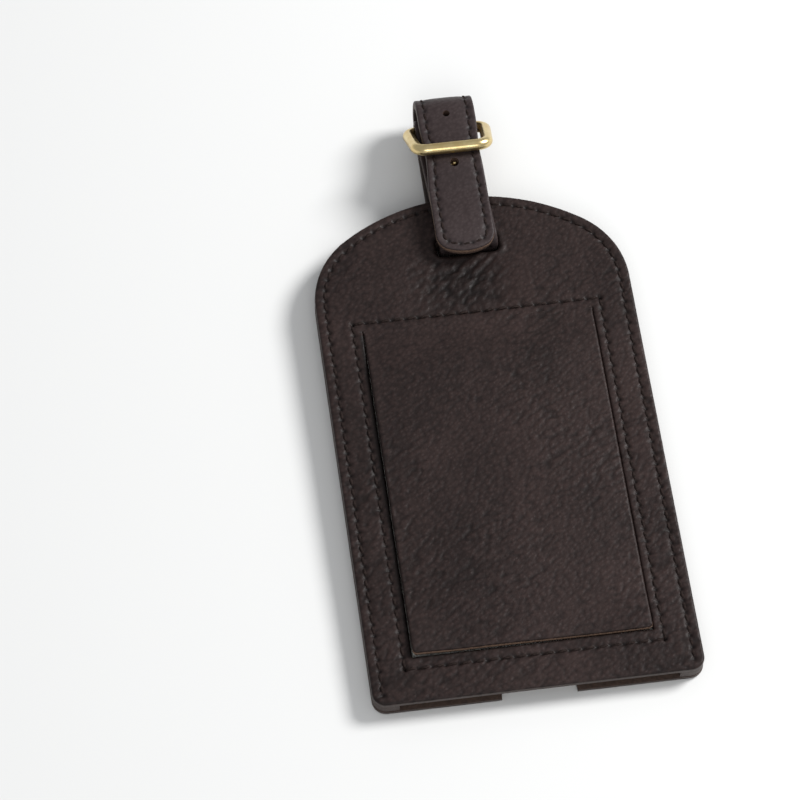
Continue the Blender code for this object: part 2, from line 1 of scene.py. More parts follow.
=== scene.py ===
from math import asin, atan2, cos, pi, radians, sin, sqrt

import bpy
import numpy as np
from mathutils import Matrix, Vector, kdtree, noise
from mathutils.geometry import delaunay_2d_cdt


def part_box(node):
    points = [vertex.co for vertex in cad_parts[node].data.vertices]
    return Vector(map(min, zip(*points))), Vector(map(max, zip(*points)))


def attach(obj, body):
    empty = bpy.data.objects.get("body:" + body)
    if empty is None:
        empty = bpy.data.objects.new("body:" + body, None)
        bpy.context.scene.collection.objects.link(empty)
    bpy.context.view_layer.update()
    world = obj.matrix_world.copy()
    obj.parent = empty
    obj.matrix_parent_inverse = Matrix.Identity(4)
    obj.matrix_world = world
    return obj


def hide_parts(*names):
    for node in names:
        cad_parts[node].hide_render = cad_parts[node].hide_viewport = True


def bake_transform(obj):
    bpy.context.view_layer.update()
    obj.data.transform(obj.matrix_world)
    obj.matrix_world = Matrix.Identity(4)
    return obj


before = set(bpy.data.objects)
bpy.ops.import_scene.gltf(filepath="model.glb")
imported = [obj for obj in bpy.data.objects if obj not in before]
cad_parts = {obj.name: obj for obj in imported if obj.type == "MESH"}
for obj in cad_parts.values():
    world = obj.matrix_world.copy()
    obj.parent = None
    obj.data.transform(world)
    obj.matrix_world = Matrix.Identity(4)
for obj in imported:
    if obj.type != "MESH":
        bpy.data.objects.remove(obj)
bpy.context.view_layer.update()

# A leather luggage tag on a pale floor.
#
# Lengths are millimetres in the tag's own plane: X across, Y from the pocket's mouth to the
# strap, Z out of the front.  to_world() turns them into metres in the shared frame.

MM = 0.001

# -------- sizes shared with the frame

BODY_WIDTH, BODY_LENGTH = 70.0, 122.0
ARCH_SIDE_RADIUS, ARCH_TOP_RADIUS, CORNER_RADIUS = 20.0, 46.0, 3.0
BACK_TOP = 1.2
BOARD_Z, CARD_Z, FILM_Z, FRONT_Z = 1.5, 2.4, 3.1, 3.7
BOARD_THICKNESS, CARD_THICKNESS, FILM_THICKNESS = 0.6, 0.4, 0.3
FACE_Z = 5.1
WINDOW_HALF, WINDOW_BOTTOM, WINDOW_TOP = 25.5, 10.2, 89.7
POCKET_HALF, POCKET_TOP, INSERT_MARGIN = 29.5, 95.5, 0.5
BOARD_BOTTOM, FILM_BOTTOM = 2.0, 6.5
CARD_HALF, CARD_BOTTOM, CARD_TOP = 28.0, 5.5, 93.5
FLAP_BACK_Z, FLAP_SKIN_Z, FLAP_TOP_Z = 3.75, 4.45, 5.7
EDGE_SEAM_INSET = 2.2
SEAM_HALF, SEAM_BOTTOM, SEAM_TOP = 27.5, 7.5, 91.9
SLOT_HALF, SLOT_BOTTOM, SLOT_TOP, SLOT_RADIUS = 7.4, 107.0, 111.4, 1.2
NOTCH_RADIUS = 8.0
STRAP_HALF, BUCKLED_HALF = 6.5, 6.1
STRAP_THICKNESS, LINING_TOP, LEATHER_START = 1.9, 0.8, 0.9
STRAP_SEAM_INSET = 1.7
SQUEEZE_REACH = 9.0
TIP_Y, TIP_SIDE_RADIUS, TIP_END_RADIUS = 105.6, 4.0, 10.0
OVER_Z, UNDER_Z, BACK_RUN_Z = 7.6, 5.4, -0.3
HUMP, HUMP_START, HUMP_END = 1.9, 120.5, 127.5
FOLD_Y, FOLD_RADIUS = 141.0, 4.9
SLOT_BEND_Y, SLOT_BEND_RADIUS = 111.2, 1.0
SKEW_SLOT, SKEW_HEEL = 0.8, -0.5
HEEL_Y, HEEL_Z, WIRE_RADIUS = 140.5, 4.70, 1.3
HEEL_HALF, BAR_HALF, BAR_Y, BAR_Z, FRAME_CORNER = 8.9, 7.85, 130.1, 13.0, 2.6
HOLES = ((127.3, 1.0), (140.3, 0.8))   # where along the tag, and radius
LINING_END_Y, TAIL_END_Y = 136.0, 133.5
PRONG_WIDTH, PRONG_THICKNESS, PRONG_TIP = 1.5, 1.1, (127.06, 11.2)
PRONG_SLOT_HALF, PRONG_SLOT_START = 1.35, 135.2
PRONG_SETTLE_Y, PRONG_BEND_Y, PRONG_BEND_RADIUS = 134.6, 128.95, 1.7
BUCKLE_SEAM_END_Y = 137.0
GAP = 0.3                             # air between pieces that touch

TILT = asin((GAP + STRAP_THICKNESS) / SLOT_BEND_Y)
ORIGIN_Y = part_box("front_leather")[0][1] / MM + FACE_Z * sin(TILT)


def to_world(points):
    x, y, z = np.asarray(points, float).T
    return np.stack([x, y * cos(TILT) - z * sin(TILT) + ORIGIN_Y,
                     y * sin(TILT) + z * cos(TILT)], 1) * MM


def world_point(y):
    return tuple(to_world([(0.0, y, FACE_Z)])[0])


def smooth_step(value, start, end):
    t = np.clip((np.asarray(value, float) - start) / (end - start), 0.0, 1.0)
    return t * t * (3 - 2 * t)


# -------- flat outlines

def arc(x, y, radius, start, end, steps=24):
    """Points of an arc, both ends included; angles in radians."""
    angles = np.linspace(start, end, steps + 1)
    return [(x + radius * cos(a), y + radius * sin(a)) for a in angles]


def arch(half_width, crown, side_radius, top_radius, inset=0.0):
    """A three-centred arch from its right springing to its left one."""
    side_x = half_width - side_radius
    drop = sqrt((top_radius - side_radius) ** 2 - side_x ** 2)
    angle = atan2(drop, side_x)
    side = side_radius - inset
    y = crown - top_radius
    return (arc(side_x, y + drop, side, 0.0, angle)
            + arc(0.0, y, top_radius - inset, angle, pi - angle)[1:]
            + arc(-side_x, y + drop, side, pi - angle, pi)[1:])


def body_arch(inset=0.0):
    return arch(BODY_WIDTH / 2, BODY_LENGTH, ARCH_SIDE_RADIUS, ARCH_TOP_RADIUS, inset)


def tip_arch(inset=0.0):
    points = arch(STRAP_HALF, 0.0, TIP_SIDE_RADIUS, TIP_END_RADIUS, inset)
    return [(x, -y) for x, y in points]


def rounded_rectangle(half, bottom, top, radius):
    reach = half - radius
    corners = ((reach, top - radius), (-reach, top - radius),
               (-reach, bottom + radius), (reach, bottom + radius))
    points = []
    for k, (x, y) in enumerate(corners):
        points += arc(x, y, radius, k * pi / 2, (k + 1) * pi / 2, 5)
    return points


def body_outline(mouth=()):
    """The tag's outline; mouth gives points between its two lower corners, left to right."""
    half = BODY_WIDTH / 2 - CORNER_RADIUS
    return (body_arch() + arc(-half, CORNER_RADIUS, CORNER_RADIUS, pi, 1.5 * pi, 8) + list(mouth)
            + arc(half, CORNER_RADIUS, CORNER_RADIUS, 1.5 * pi, 2 * pi, 8))


def turn(count):
    """Even angles round a full turn."""
    return np.arange(count) * 2 * pi / count


def refine(points, step, closed=True):
    """The same line with no piece longer than step."""
    points = [np.array(p, float) for p in points]
    ends = points[1:] + points[:1] if closed else points[1:]
    out = []
    for a, b in zip(points, ends):
        length = np.linalg.norm(b - a)
        if length < 1e-6:
            continue
        count = max(1, int(np.ceil(length / step)))
        out += [a + (b - a) * k / count for k in range(count)]
    if not closed:
        out.append(points[-1])
    return np.array(out)


def left_of(directions):
    """Unit vectors that point to the left of some directions."""
    units = directions / np.linalg.norm(directions, axis=1)[:, None]
    return np.stack([-units[:, 1], units[:, 0]], 1)


def inset_loop(loop, distance):
    """A closed loop moved towards its left side."""
    before, after = left_of(loop - np.roll(loop, 1, 0)), left_of(np.roll(loop, -1, 0) - loop)
    spread = 1 + (before * after).sum(1)
    return loop + distance * (before + after) / np.maximum(spread, 0.5)[:, None]


def line_distance(points, lines):
    """Distance from each point to the nearest of several polylines."""
    best = np.full(len(points), 1e9)
    for line in lines:
        a, d = line[:-1], line[1:] - line[:-1]
        squared = (d * d).sum(1)
        for lo in range(0, len(points), 4000):
            p = points[lo:lo + 4000, None, :] - a[None]
            t = np.clip((p * d).sum(2) / squared, 0, 1)
            gap = p - t[..., None] * d
            best[lo:lo + 4000] = np.minimum(best[lo:lo + 4000], np.sqrt((gap ** 2).sum(2).min(1)))
    return best


def closed_line(loop):
    return np.vstack([loop, loop[:1]])


def inside(points, loop):
    x, y = points.T
    a, b = loop, np.roll(loop, -1, 0)
    result = np.zeros(len(points), bool)
    for (ax, ay), (bx, by) in zip(a, b):
        if ay != by:
            crosses = (ay > y) != (by > y)
            result ^= crosses & (x < (bx - ax) * (y - ay) / (by - ay) + ax)
    return result


def within(points, loops):
    """Whether points lie inside the first loop and outside the holes after it."""
    keep = inside(points, loops[0])
    for hole in loops[1:]:
        keep &= ~inside(points, hole)
    return keep


def point_tree(points):
    tree = kdtree.KDTree(len(points))
    for k, (x, y) in enumerate(points):
        tree.insert((x, y, 0.0), k)
    tree.balance()
    return tree


def flat_triangles(loops, rings, spacing):
    """Triangles between an outline and its holes, through ring points and a staggered grid."""
    fixed = np.vstack(list(loops) + list(rings))
    low, high = loops[0].min(0), loops[0].max(0)
    rows = []
    for k, y in enumerate(np.arange(low[1], high[1], spacing * 0.866)):
        xs = np.arange(low[0] + (k % 2) * spacing / 2, high[0], spacing)
        rows.append(np.stack([xs, np.full(len(xs), y)], 1))
    grid = np.vstack(rows)
    grid = grid[within(grid, loops)]
    tree = point_tree(fixed)
    grid = np.array([p for p in grid if tree.find((p[0], p[1], 0.0))[2] > 0.6 * spacing])
    points = np.vstack([fixed, grid.reshape(-1, 2)])
    edges, first = [], 0
    for loop in loops:
        n = len(loop)
        edges += [(first + k, first + (k + 1) % n) for k in range(n)]
        first += n
    made = delaunay_2d_cdt([Vector(p) for p in points], edges, [], 0, 1e-7)
    source = np.array([origin[0] for origin in made[3]])
    triangles = source[np.array(made[2])]
    triangles = triangles[within(points[triangles].mean(1), loops)]
    a, b, c = (points[triangles[:, k]] for k in range(3))
    area = (b[:, 0] - a[:, 0]) * (c[:, 1] - a[:, 1]) - (b[:, 1] - a[:, 1]) * (c[:, 0] - a[:, 0])
    triangles[area < 0] = triangles[area < 0][:, ::-1]
    return points, triangles


# -------- making pieces

def add_piece(name, verts, faces, slots, materials, sharp=50.0, painted_dark=None):
    mesh = bpy.data.meshes.new(name)
    mesh.from_pydata(to_world(verts).tolist(), [], faces)
    for material in materials:
        mesh.materials.append(material)
    mesh.polygons.foreach_set("material_index", slots)
    mesh.shade_smooth()
    mesh.set_sharp_from_angle(angle=radians(sharp))
    # The attribute holds painted shade, one value a point.
    if painted_dark is not None:
        mesh.attributes.new("painted_shade", 'FLOAT', 'POINT').data.foreach_set("value", painted_dark)
    mesh.update()
    thing = bpy.data.objects.new(name, mesh)
    bpy.context.scene.collection.objects.link(thing)
    return thing


def round_off(distance, radius):
    """How far a face falls towards a rounded edge."""
    short = np.clip(radius - distance, 0.0, radius)
    return radius - np.sqrt(radius ** 2 - short ** 2)


def flat_place(x, y, h):
    return np.stack([x, y, h], 1)


EDGE_RINGS = (0.05, 0.16, 0.34, 0.6)


def slab(name, loops, spacing, top, bottom, materials, place=flat_place, rings=(),
         soft=None, levels=((0.5, 0.0),), level_slots=None, insets=EDGE_RINGS,
         painted_shade=None, wall_slot=None):
    """A layer with modelled faces, closed round its outline and every hole.

    top and bottom give a height for (x, y, distance to the nearest soft edge).
    levels gives (share of the wall's height, bulge) for each extra row of vertices, and
    level_slots the material of each band between rows.
    Painted shade on the top comes from a function of (x, y) and is kept as a mesh attribute; wall_slot
    picks a wall's material.
    """
    extra = [inset_loop(loop, d) for loop in loops for d in insets] + list(rings)
    points, triangles = flat_triangles(loops, extra, spacing)
    lines = [closed_line(loop) for loop in loops] if soft is None else soft
    x, y = points.T
    distance = line_distance(points, lines)
    high, low = top(x, y, distance), bottom(x, y, distance)
    n = len(points)
    verts = [place(x, y, high), place(x, y, low)]
    faces = triangles.tolist() + (triangles[:, ::-1] + n).tolist()
    under = min(2, len(materials) - 1)
    slots = [0] * len(triangles) + [under] * len(triangles)
    total, first = 2 * n, 0
    level_slots = level_slots or [1] * (len(levels) + 1)
    for loop in loops:
        count = len(loop)
        ids = np.arange(first, first + count)
        rows = [ids]
        for share, bulge in levels:
            moved = inset_loop(loop, -bulge)
            h = high[ids] + (low[ids] - high[ids]) * share
            verts.append(place(moved[:, 0], moved[:, 1], h))
            rows.append(np.arange(total, total + count))
            total += count
        rows.append(ids + n)
        for upper, lower, slot in zip(rows, rows[1:], level_slots):
            for k in range(count):
                j = (k + 1) % count
                faces.append((int(upper[k]), int(lower[k]), int(lower[j]), int(upper[j])))
                slots.append(wall_slot(*loop[k]) if wall_slot else slot)
        first += count
    painted_dark = np.zeros(total, np.float32)
    if painted_shade:
        painted_dark[:n] = painted_shade(x, y)
    return add_piece(name, np.vstack(verts), faces, slots, materials, painted_dark=painted_dark)


def sweep(name, rings, material, closed=False):
    size, count = len(rings[0]), len(rings)
    faces = []
    for k in range(count if closed else count - 1):
        after = (k + 1) % count
        for i in range(size):
            j = (i + 1) % size
            faces.append((k * size + i, k * size + j, after * size + j, after * size + i))
    if not closed:
        faces += [tuple(reversed(range(size))), tuple(range((count - 1) * size, count * size))]
    return add_piece(name, np.vstack(rings), faces, [0] * len(faces), [material], 40.0)


# -------- leather relief

def drawn_out(x, y, size, angle, stretch):
    """Places measured in a pattern's own size, turned and stretched along an angle."""
    return ((x * cos(angle) + y * sin(angle)) / (size * stretch),
            (-x * sin(angle) + y * cos(angle)) / size)


def cells(x, y, size, angle=0.0, stretch=1.0, seed=0.0):
    """How far inside its cell a place is: 0 in a crevice, towards 1 on a pebble."""
    u, v = drawn_out(x, y, size, angle, stretch)
    out = np.empty(len(x))
    for k in range(len(x)):
        d = noise.voronoi((u[k], v[k], seed))[0]
        out[k] = d[1] - d[0]
    return np.clip(out / 0.6, 0.0, 1.0)


def drift(x, y, size, angle=0.0, stretch=1.0, seed=0.0):
    """Soft noise between -1 and 1."""
    u, v = drawn_out(x, y, size, angle, stretch)
    return np.array([noise.noise((a, b, seed)) for a, b in zip(u, v)])


GRAIN_ANGLE = radians(33)
COARSE_STARTS, COARSE_FULL = 75, 25   # the grain grows coarser down the tag between these


def pebbles(x, y, depth, seed):
    """Pebbled grain: fine and even in places, coarse and drawn out in others."""
    fine = cells(x, y, 0.72, GRAIN_ANGLE, 1.6, seed)
    coarse = cells(x, y, 0.90, GRAIN_ANGLE, 2.8, seed + 7.3)
    lower = smooth_step(y, COARSE_STARTS, COARSE_FULL)
    mix = smooth_step(drift(x, y, 22.0, seed=seed + 3.1) + 0.35 * lower, -0.05, 0.4)
    creases = np.abs(drift(x, y, 1.9, GRAIN_ANGLE, 3.4, seed + 11.0))
    folds = -smooth_step(creases, 0.13, 0.0)
    return depth * ((1 - mix) * fine + mix * 1.2 * coarse - 1.0 + 1.1 * folds * (0.3 + mix))


class Seam:
    """A row of stitches along a flat line."""

    def __init__(self, points, pitch):
        line = np.array(points, float)
        self.line = line
        self.reach = np.concatenate([[0], np.cumsum(np.linalg.norm(np.diff(line, axis=0), axis=1))])
        self.count = max(1, int(round(self.reach[-1] / pitch)))
        self.pitch = self.reach[-1] / self.count
        self.holes = self.at(np.arange(self.count + 1) * self.pitch)
        self.tree = point_tree(self.holes)

    def at(self, s):
        return np.stack([np.interp(s, self.reach, self.line[:, k]) for k in (0, 1)], 1)

    def at_side(self, s):
        """Points along the row, and unit vectors to their left."""
        return self.at(s), left_of(self.at(s + 0.05) - self.at(s - 0.05))

    def rings(self):
        """Rows of points beside the stitches, so that the mesh can hold their groove."""
        step = 0.32
        p, side = self.at_side(np.arange(step / 2, self.reach[-1], step))
        return [p + side * offset for offset in (-0.55, -0.28, 0.0, 0.28, 0.55)]

    def near_hole(self, points, radius):
        """1 at a stitch hole, falling to 0 within a radius or two."""
        share = np.zeros(len(points))
        near = line_distance(points, [self.line]) < 1.2
        share[near] = [np.exp(-(self.tree.find((x, y, 0.0))[2] / radius) ** 2)
                       for x, y in points[near]]
        return share

    def dent(self, points, groove=0.10, hole=0.42):
        """How far the surface is drawn in along the row and at each hole."""
        away = line_distance(points, [self.line])
        return groove * np.exp(-(away / 0.5) ** 2) + hole * self.near_hole(points, 0.42)


def seam_rings(seams):
    return [ring for seam in seams for ring in seam.rings()]


def stitch_mesh(name, seams, place, level, material, keep=None, down=1.0,
                half_width=0.31, half_height=0.21, slant=0.13):
    """Every stitch of some rows: a short two-ply thread that dives into its holes.

    level is the thread's height; down is -1 where the stitches show from below.
    """
    steps, sides = 9, 10
    verts, faces, total = [], [], 0
    t = np.linspace(0, 1, steps)
    angles = turn(sides)
    for number, seam in enumerate(seams):
        for k in range(seam.count):
            middle = seam.at([(k + 0.5) * seam.pitch])[0]
            if keep and not keep(*middle):
                continue
            p, side = seam.at_side((k + 0.12 + 0.76 * t) * seam.pitch)
            lift = np.sin(pi * t) ** 0.55
            wobble = noise.noise((k * 0.7, number * 3.3, 1.7))
            centre = level + down * (0.10 * lift - 0.42 * (1 - lift))
            for i in range(steps):
                size = 0.62 + 0.38 * lift[i]
                ply = 1 + 0.10 * np.cos(2 * angles - 2.2 * pi * t[i] * 2 + k)
                across = half_width * size * ply * np.cos(angles)
                across += slant * (1 + 0.5 * wobble) * (t[i] - 0.5) * 2
                height = half_height * size * ply * np.sin(angles)
                flat = p[i] + side[i] * across[:, None]
                verts.append(place(flat[:, 0], flat[:, 1], centre[i] + height))
            for i in range(steps - 1):
                for j in range(sides):
                    a, b = total + i * sides + j, total + i * sides + (j + 1) % sides
                    faces.append((a, a + sides, b + sides, b))
            last = total + (steps - 1) * sides
            faces.append(tuple(range(total, total + sides)))
            faces.append(tuple(reversed(range(last, last + sides))))
            total += steps * sides
    return add_piece(name, np.vstack(verts), faces, [0] * len(faces), [material], 60.0)


# -------- materials

class Nodes:
    """A material's node tree, with textures placed in millimetres."""

    def __init__(self, name):
        self.material = bpy.data.materials.new(name)
        self.material.use_nodes = True
        self.tree = self.material.node_tree
        self.shader = self.tree.nodes["Principled BSDF"]
        metres = self.add("ShaderNodeTexCoord")
        self.place = self.add("ShaderNodeVectorMath", operation='SCALE')
        self.place.inputs["Scale"].default_value = 1 / MM
        self.link(metres.outputs["Object"], self.place.inputs[0])

    def add(self, kind, **settings):
        node = self.tree.nodes.new(kind)
        for key, value in settings.items():
            setattr(node, key, value)
        return node

    def link(self, source, target):
        self.tree.links.new(source, target)

    def set(self, **values):
        for key, value in values.items():
            self.shader.inputs[key.replace("_", " ")].default_value = value

    def feed(self, name, source):
        self.link(source, self.shader.inputs[name])

    def stretched(self, angle, stretch):
        """The place turned by an angle and then drawn out along it."""
        turned, drawn = self.add("ShaderNodeMapping"), self.add("ShaderNodeMapping")
        turned.inputs["Rotation"].default_value = (0.0, 0.0, -angle)
        drawn.inputs["Scale"].default_value = (1 / stretch, 1.0, 1.0)
        self.link(self.place.outputs[0], turned.inputs[0])
        self.link(turned.outputs[0], drawn.inputs[0])
        return drawn.outputs[0]

    def noise(self, scale, detail=3.0, vector=None):
        node = self.add("ShaderNodeTexNoise")
        node.inputs["Scale"].default_value = scale
        node.inputs["Detail"].default_value = detail
        self.link(vector or self.place.outputs[0], node.inputs["Vector"])
        return node.outputs["Fac"]

    def voronoi(self, scale, vector):
        node = self.add("ShaderNodeTexVoronoi", feature='SMOOTH_F1')
        node.inputs["Scale"].default_value = scale
        self.link(vector, node.inputs["Vector"])
        return node.outputs["Distance"]

    def ramp(self, source, *stops):
        node = self.add("ShaderNodeValToRGB")
        elements = node.color_ramp.elements
        while len(elements) < len(stops):
            elements.new(0.5)
        for element, (position, colour) in zip(elements, stops):
            element.position = position
            element.color = (*colour, 1.0)
        self.link(source, node.inputs[0])
        return node.outputs[0]

    def math(self, operation, a, b):
        node = self.add("ShaderNodeMath", operation=operation)
        for k, value in enumerate((a, b)):
            if isinstance(value, (int, float)):
                node.inputs[k].default_value = value
            else:
                self.link(value, node.inputs[k])
        return node.outputs[0]

    def bump(self, height, strength, distance, after=None):
        node = self.add("ShaderNodeBump")
        node.inputs["Strength"].default_value = strength
        node.inputs["Distance"].default_value = distance * MM
        self.link(height, node.inputs["Height"])
        if after:
            self.link(after, node.inputs["Normal"])
        return node.outputs[0]


def leather(name, dark, light, roughness, grain=1.35, depth=0.09, fine=0.4):
    """Pebbled, finished leather."""
    n = Nodes(name)
    drawn = n.stretched(GRAIN_ANGLE, 1.4)
    pebble = n.voronoi(grain, drawn)
    pores = n.noise(6.0, 4.0)
    clouds = n.noise(0.05, 3.0)
    tone = n.math('ADD', n.math('MULTIPLY', pebble, -0.55), n.math('MULTIPLY', clouds, 0.7))
    tone = n.math('ADD', tone, n.math('MULTIPLY', pores, 0.35))
    # Painted shade: where the mesh attribute is set, the colour falls towards a much darker brown.
    painted_dark = n.add("ShaderNodeAttribute", attribute_name="painted_shade")
    shade = n.add("ShaderNodeMix", data_type='RGBA')
    n.link(painted_dark.outputs["Fac"], shade.inputs["Factor"])
    n.link(n.ramp(tone, (0.12, dark), (0.72, light)), shade.inputs["A"])
    shade.inputs["B"].default_value = (*(c * 0.18 for c in dark), 1.0)
    n.feed("Base Color", shade.outputs["Result"])
    shine = n.math('ADD', n.math('MULTIPLY', pores, 0.22), n.math('MULTIPLY', pebble, 0.12))
    n.feed("Roughness", n.math('ADD', shine, roughness - 0.16))
    height = n.math('MULTIPLY', pebble, -1.0)
    first = n.bump(height, 1.0, depth)
    second = n.bump(n.noise(2.6, 5.0, drawn), fine, 0.09, first)
    n.feed("Normal", n.bump(pores, 0.35, 0.03, second))
    n.set(Specular_IOR_Level=0.17)
    return n.material


def raw_edge(name, dark, light, roughness=0.75):
    """Cut leather seen edge on: fibrous, in thin layers."""
    n = Nodes(name)
    n.feed("Base Color", n.ramp(n.noise(3.5, 5.0), (0.30, dark), (0.70, light)))
    n.set(Roughness=roughness)
    n.feed("Normal", n.bump(n.noise(7.0, 4.0), 0.6, 0.08))
    return n.material


def plain(name, dark, light, roughness, scale=0.6, bump_scale=4.0, depth=0.02, **settings):
    n = Nodes(name)
    n.feed("Base Color", n.ramp(n.noise(scale, 4.0), (0.35, dark), (0.65, light)))
    n.set(Roughness=roughness, **settings)
    n.feed("Normal", n.bump(n.noise(bump_scale, 4.0), 0.5, depth))
    return n.material


def brass(name):
    """Polished brass with faint rubbing."""
    n = Nodes(name)
    dark, light = (0.66, 0.50, 0.23), (0.75, 0.61, 0.32)
    n.feed("Base Color", n.ramp(n.noise(0.5, 3.0), (0.35, dark), (0.65, light)))
    n.set(Metallic=1.0)
    n.feed("Roughness", n.math('ADD', n.math('MULTIPLY', n.noise(2.2, 5.0), 0.12), 0.24))
    n.feed("Normal", n.bump(n.noise(1.1, 2.0), 0.25, 0.03))
    return n.material


def clear_film(name):
    n = Nodes(name)
    dark, light = (0.75, 0.79, 0.80), (0.84, 0.87, 0.88)
    n.feed("Base Color", n.ramp(n.noise(0.2, 2.0), (0.3, dark), (0.7, light)))
    n.set(Roughness=0.06, Alpha=0.16)
    n.feed("Normal", n.bump(n.noise(0.12, 1.0), 0.35, 0.3))
    return n.material


BODY_DARK, BODY_LIGHT = (0.0130, 0.0074, 0.0066), (0.043, 0.0262, 0.0236)
STRAP_DARK, STRAP_LIGHT = (0.028, 0.0192, 0.0192), (0.056, 0.0415, 0.0410)

body_leather = leather("body_leather", BODY_DARK, BODY_LIGHT, 0.50)
strap_leather = leather("strap_leather", STRAP_DARK, STRAP_LIGHT, 0.46, grain=1.7, depth=0.05, fine=0.3)
body_edge = raw_edge("body_edge", (0.020, 0.013, 0.011), (0.055, 0.036, 0.030), 0.55)
# Lit copy of the cut edge: its tan is painted light for edges that face the lamp; the same cut
# elsewhere takes the darker edge materials.
tan_edge_painted_light = raw_edge("tan_edge_painted_light", (0.085, 0.050, 0.033), (0.25, 0.155, 0.105), 0.7)
brown_edge = raw_edge("brown_edge", (0.035, 0.020, 0.015), (0.09, 0.052, 0.038), 0.65)
lining = plain("leather_lining", (0.045, 0.027, 0.020), (0.075, 0.046, 0.034), 0.72, 1.5, 5.0, 0.05)
thread = plain("thread", (0.011, 0.007, 0.006), (0.026, 0.017, 0.015), 0.85, 2.0, 6.0, 0.05,
               Specular_IOR_Level=0.12)
# A darker copy of the lining for the strap: painted shade inside the fold, its holes and the gaps
# beside the strap.
strap_lining_painted_shade = plain("strap_lining_painted_shade", (0.020, 0.013, 0.011), (0.036, 0.024, 0.020), 0.75, 1.5, 5.0, 0.05)
board_paper = plain("board_paper", (0.30, 0.24, 0.17), (0.38, 0.31, 0.23), 0.85, 3.0, 6.0, 0.03)
card_paper = plain("card_paper", (0.74, 0.71, 0.62), (0.80, 0.77, 0.69), 0.75, 0.8, 8.0, 0.015)
film = clear_film("clear_film")
metal = brass("brass")


# -------- tag body

EDGE_PITCH, WINDOW_PITCH = 2.75, 2.95
THREAD_SUNK, BOBBIN_Z = 0.14, 0.24


def edge_line(inset):
    half = BODY_WIDTH / 2 - inset
    start = EDGE_SEAM_INSET
    return [(half, start)] + body_arch(inset) + [(-half, start)]


edge_seam = Seam(refine(edge_line(EDGE_SEAM_INSET), 0.5, closed=False), EDGE_PITCH)
corners = [(SEAM_HALF, SEAM_BOTTOM), (SEAM_HALF, SEAM_TOP), (-SEAM_HALF, SEAM_TOP),
           (-SEAM_HALF, SEAM_BOTTOM)]
window_seams = [Seam([corners[k], corners[(k + 1) % 4]], WINDOW_PITCH) for k in range(4)]

SLOT_LEFT_SHARE = 0.89                # how much of the slot's left half stays


def slot_loop():
    """The slot, drawn in a little on the side that the strap leaves free."""
    outline = rounded_rectangle(SLOT_HALF, SLOT_BOTTOM, SLOT_TOP, SLOT_RADIUS)
    loop = refine(outline, 0.4)[::-1]
    loop[:, 0] = np.where(loop[:, 0] < 0, SLOT_LEFT_SHARE * loop[:, 0], loop[:, 0])
    return loop


FRONT_GRAIN_SEED, FLAP_GRAIN_SEED, BACK_GRAIN_SEED = 4.0, 6.0, 31.0
FRONT_GRAIN, FLAP_GRAIN, BACK_GRAIN = 0.075, 0.085, 0.035
CREASE_CENTRE, CREASE_REACH, CREASE_ANGLE = (-2.0, 99.3), (11.0, 8.2), radians(38)


def crease_patch(x, y):
    """1 below the end of the strap, fading out around it: where the front creases and takes painted
    shade.
    """
    (centre_x, centre_y), (reach_x, reach_y) = CREASE_CENTRE, CREASE_REACH
    return np.exp(-((x - centre_x) / reach_x) ** 4 - ((y - centre_y) / reach_y) ** 4)


def wrinkles(x, y):
    """Leather drawn into creases and pressed down below the end of the strap."""
    ridges = (drift(x, y, 1.15, CREASE_ANGLE, 2.8, 21.0)
              + 0.6 * drift(x, y, 0.7, CREASE_ANGLE, 1.8, 25.0))
    return crease_patch(x, y) * (0.36 * ridges - 0.42)


def slot_distance(points):
    return line_distance(points, [closed_line(slot_loop())])


def slot_lip(points):
    """The leather swells round the slot, most at its two lower corners."""
    x, y = points.T
    corner = smooth_step(y, 110.0, 106.0) * smooth_step(np.abs(x), 3, 7)
    swell = np.exp(-((slot_distance(points) - 0.9) / 0.6) ** 2)
    return 0.30 * swell * (0.35 + 0.65 * corner)


def crevice_shade(x, y, seams=(), grain=0.0, seed=FRONT_GRAIN_SEED):
    """Painted shade in stitch holes, creases and the deepest grain."""
    points = np.stack([x, y], 1)
    dark = np.zeros(len(x))
    for seam in seams:
        dark = np.maximum(dark, 0.95 * seam.near_hole(points, 0.55))
    if grain:
        dark = np.maximum(dark, grain * smooth_step(-pebbles(x, y, 1.0, seed), 0.6, 1.5))
    return dark


def front_painted_shade(x, y):
    """Painted shade on the front: under the strap's end, painted shadow beside the flap's left and
    lower edges, round the slot, in stitch holes and the deepest grain.
    """
    # Painted shade and shadow under the strap's end, deepest in the crease valleys.
    pressed = 0.40 * crease_patch(x, y) + 0.50 * smooth_step(-wrinkles(x, y), 0.22, 0.60)
    # Painted shadow of the raised flap on the front beside its left edge.
    beside = (x < -WINDOW_HALF) & (y > WINDOW_BOTTOM) & (y < WINDOW_TOP - 0.5)
    left = 0.85 * smooth_step(-WINDOW_HALF - x, 1.7, 0.2) * beside
    # Painted shadow on the front below the flap's lower edge.
    under = (y < WINDOW_BOTTOM) & (np.abs(x) < WINDOW_HALF)
    below = 0.60 * smooth_step(WINDOW_BOTTOM - y, 1.1, 0.1) * under
    # Painted shade round the slot, under the strap's end.
    slot = 0.65 * smooth_step(slot_distance(np.stack([x, y], 1)), 1.5, 0.2)
    # Painted shade in the stitch holes and the deepest grain.
    grain = crevice_shade(x, y, (edge_seam, *window_seams), 0.45)
    return np.maximum.reduce([pressed, left, below, slot, grain])


def front_top(x, y, distance):
    points = np.stack([x, y], 1)
    z = FACE_Z + 0.10 * drift(x, y, 17.0, seed=2.0) + pebbles(x, y, FRONT_GRAIN, FRONT_GRAIN_SEED)
    z += wrinkles(x, y) + slot_lip(points)
    for seam in (edge_seam, *window_seams):
        z -= seam.dent(points)
    hinge_side = (np.abs(x) < WINDOW_HALF - 0.2) & (y > WINDOW_TOP - 0.1) & (y < WINDOW_TOP + 3)
    return z - np.where(hinge_side, 0.0, round_off(distance, 0.5))


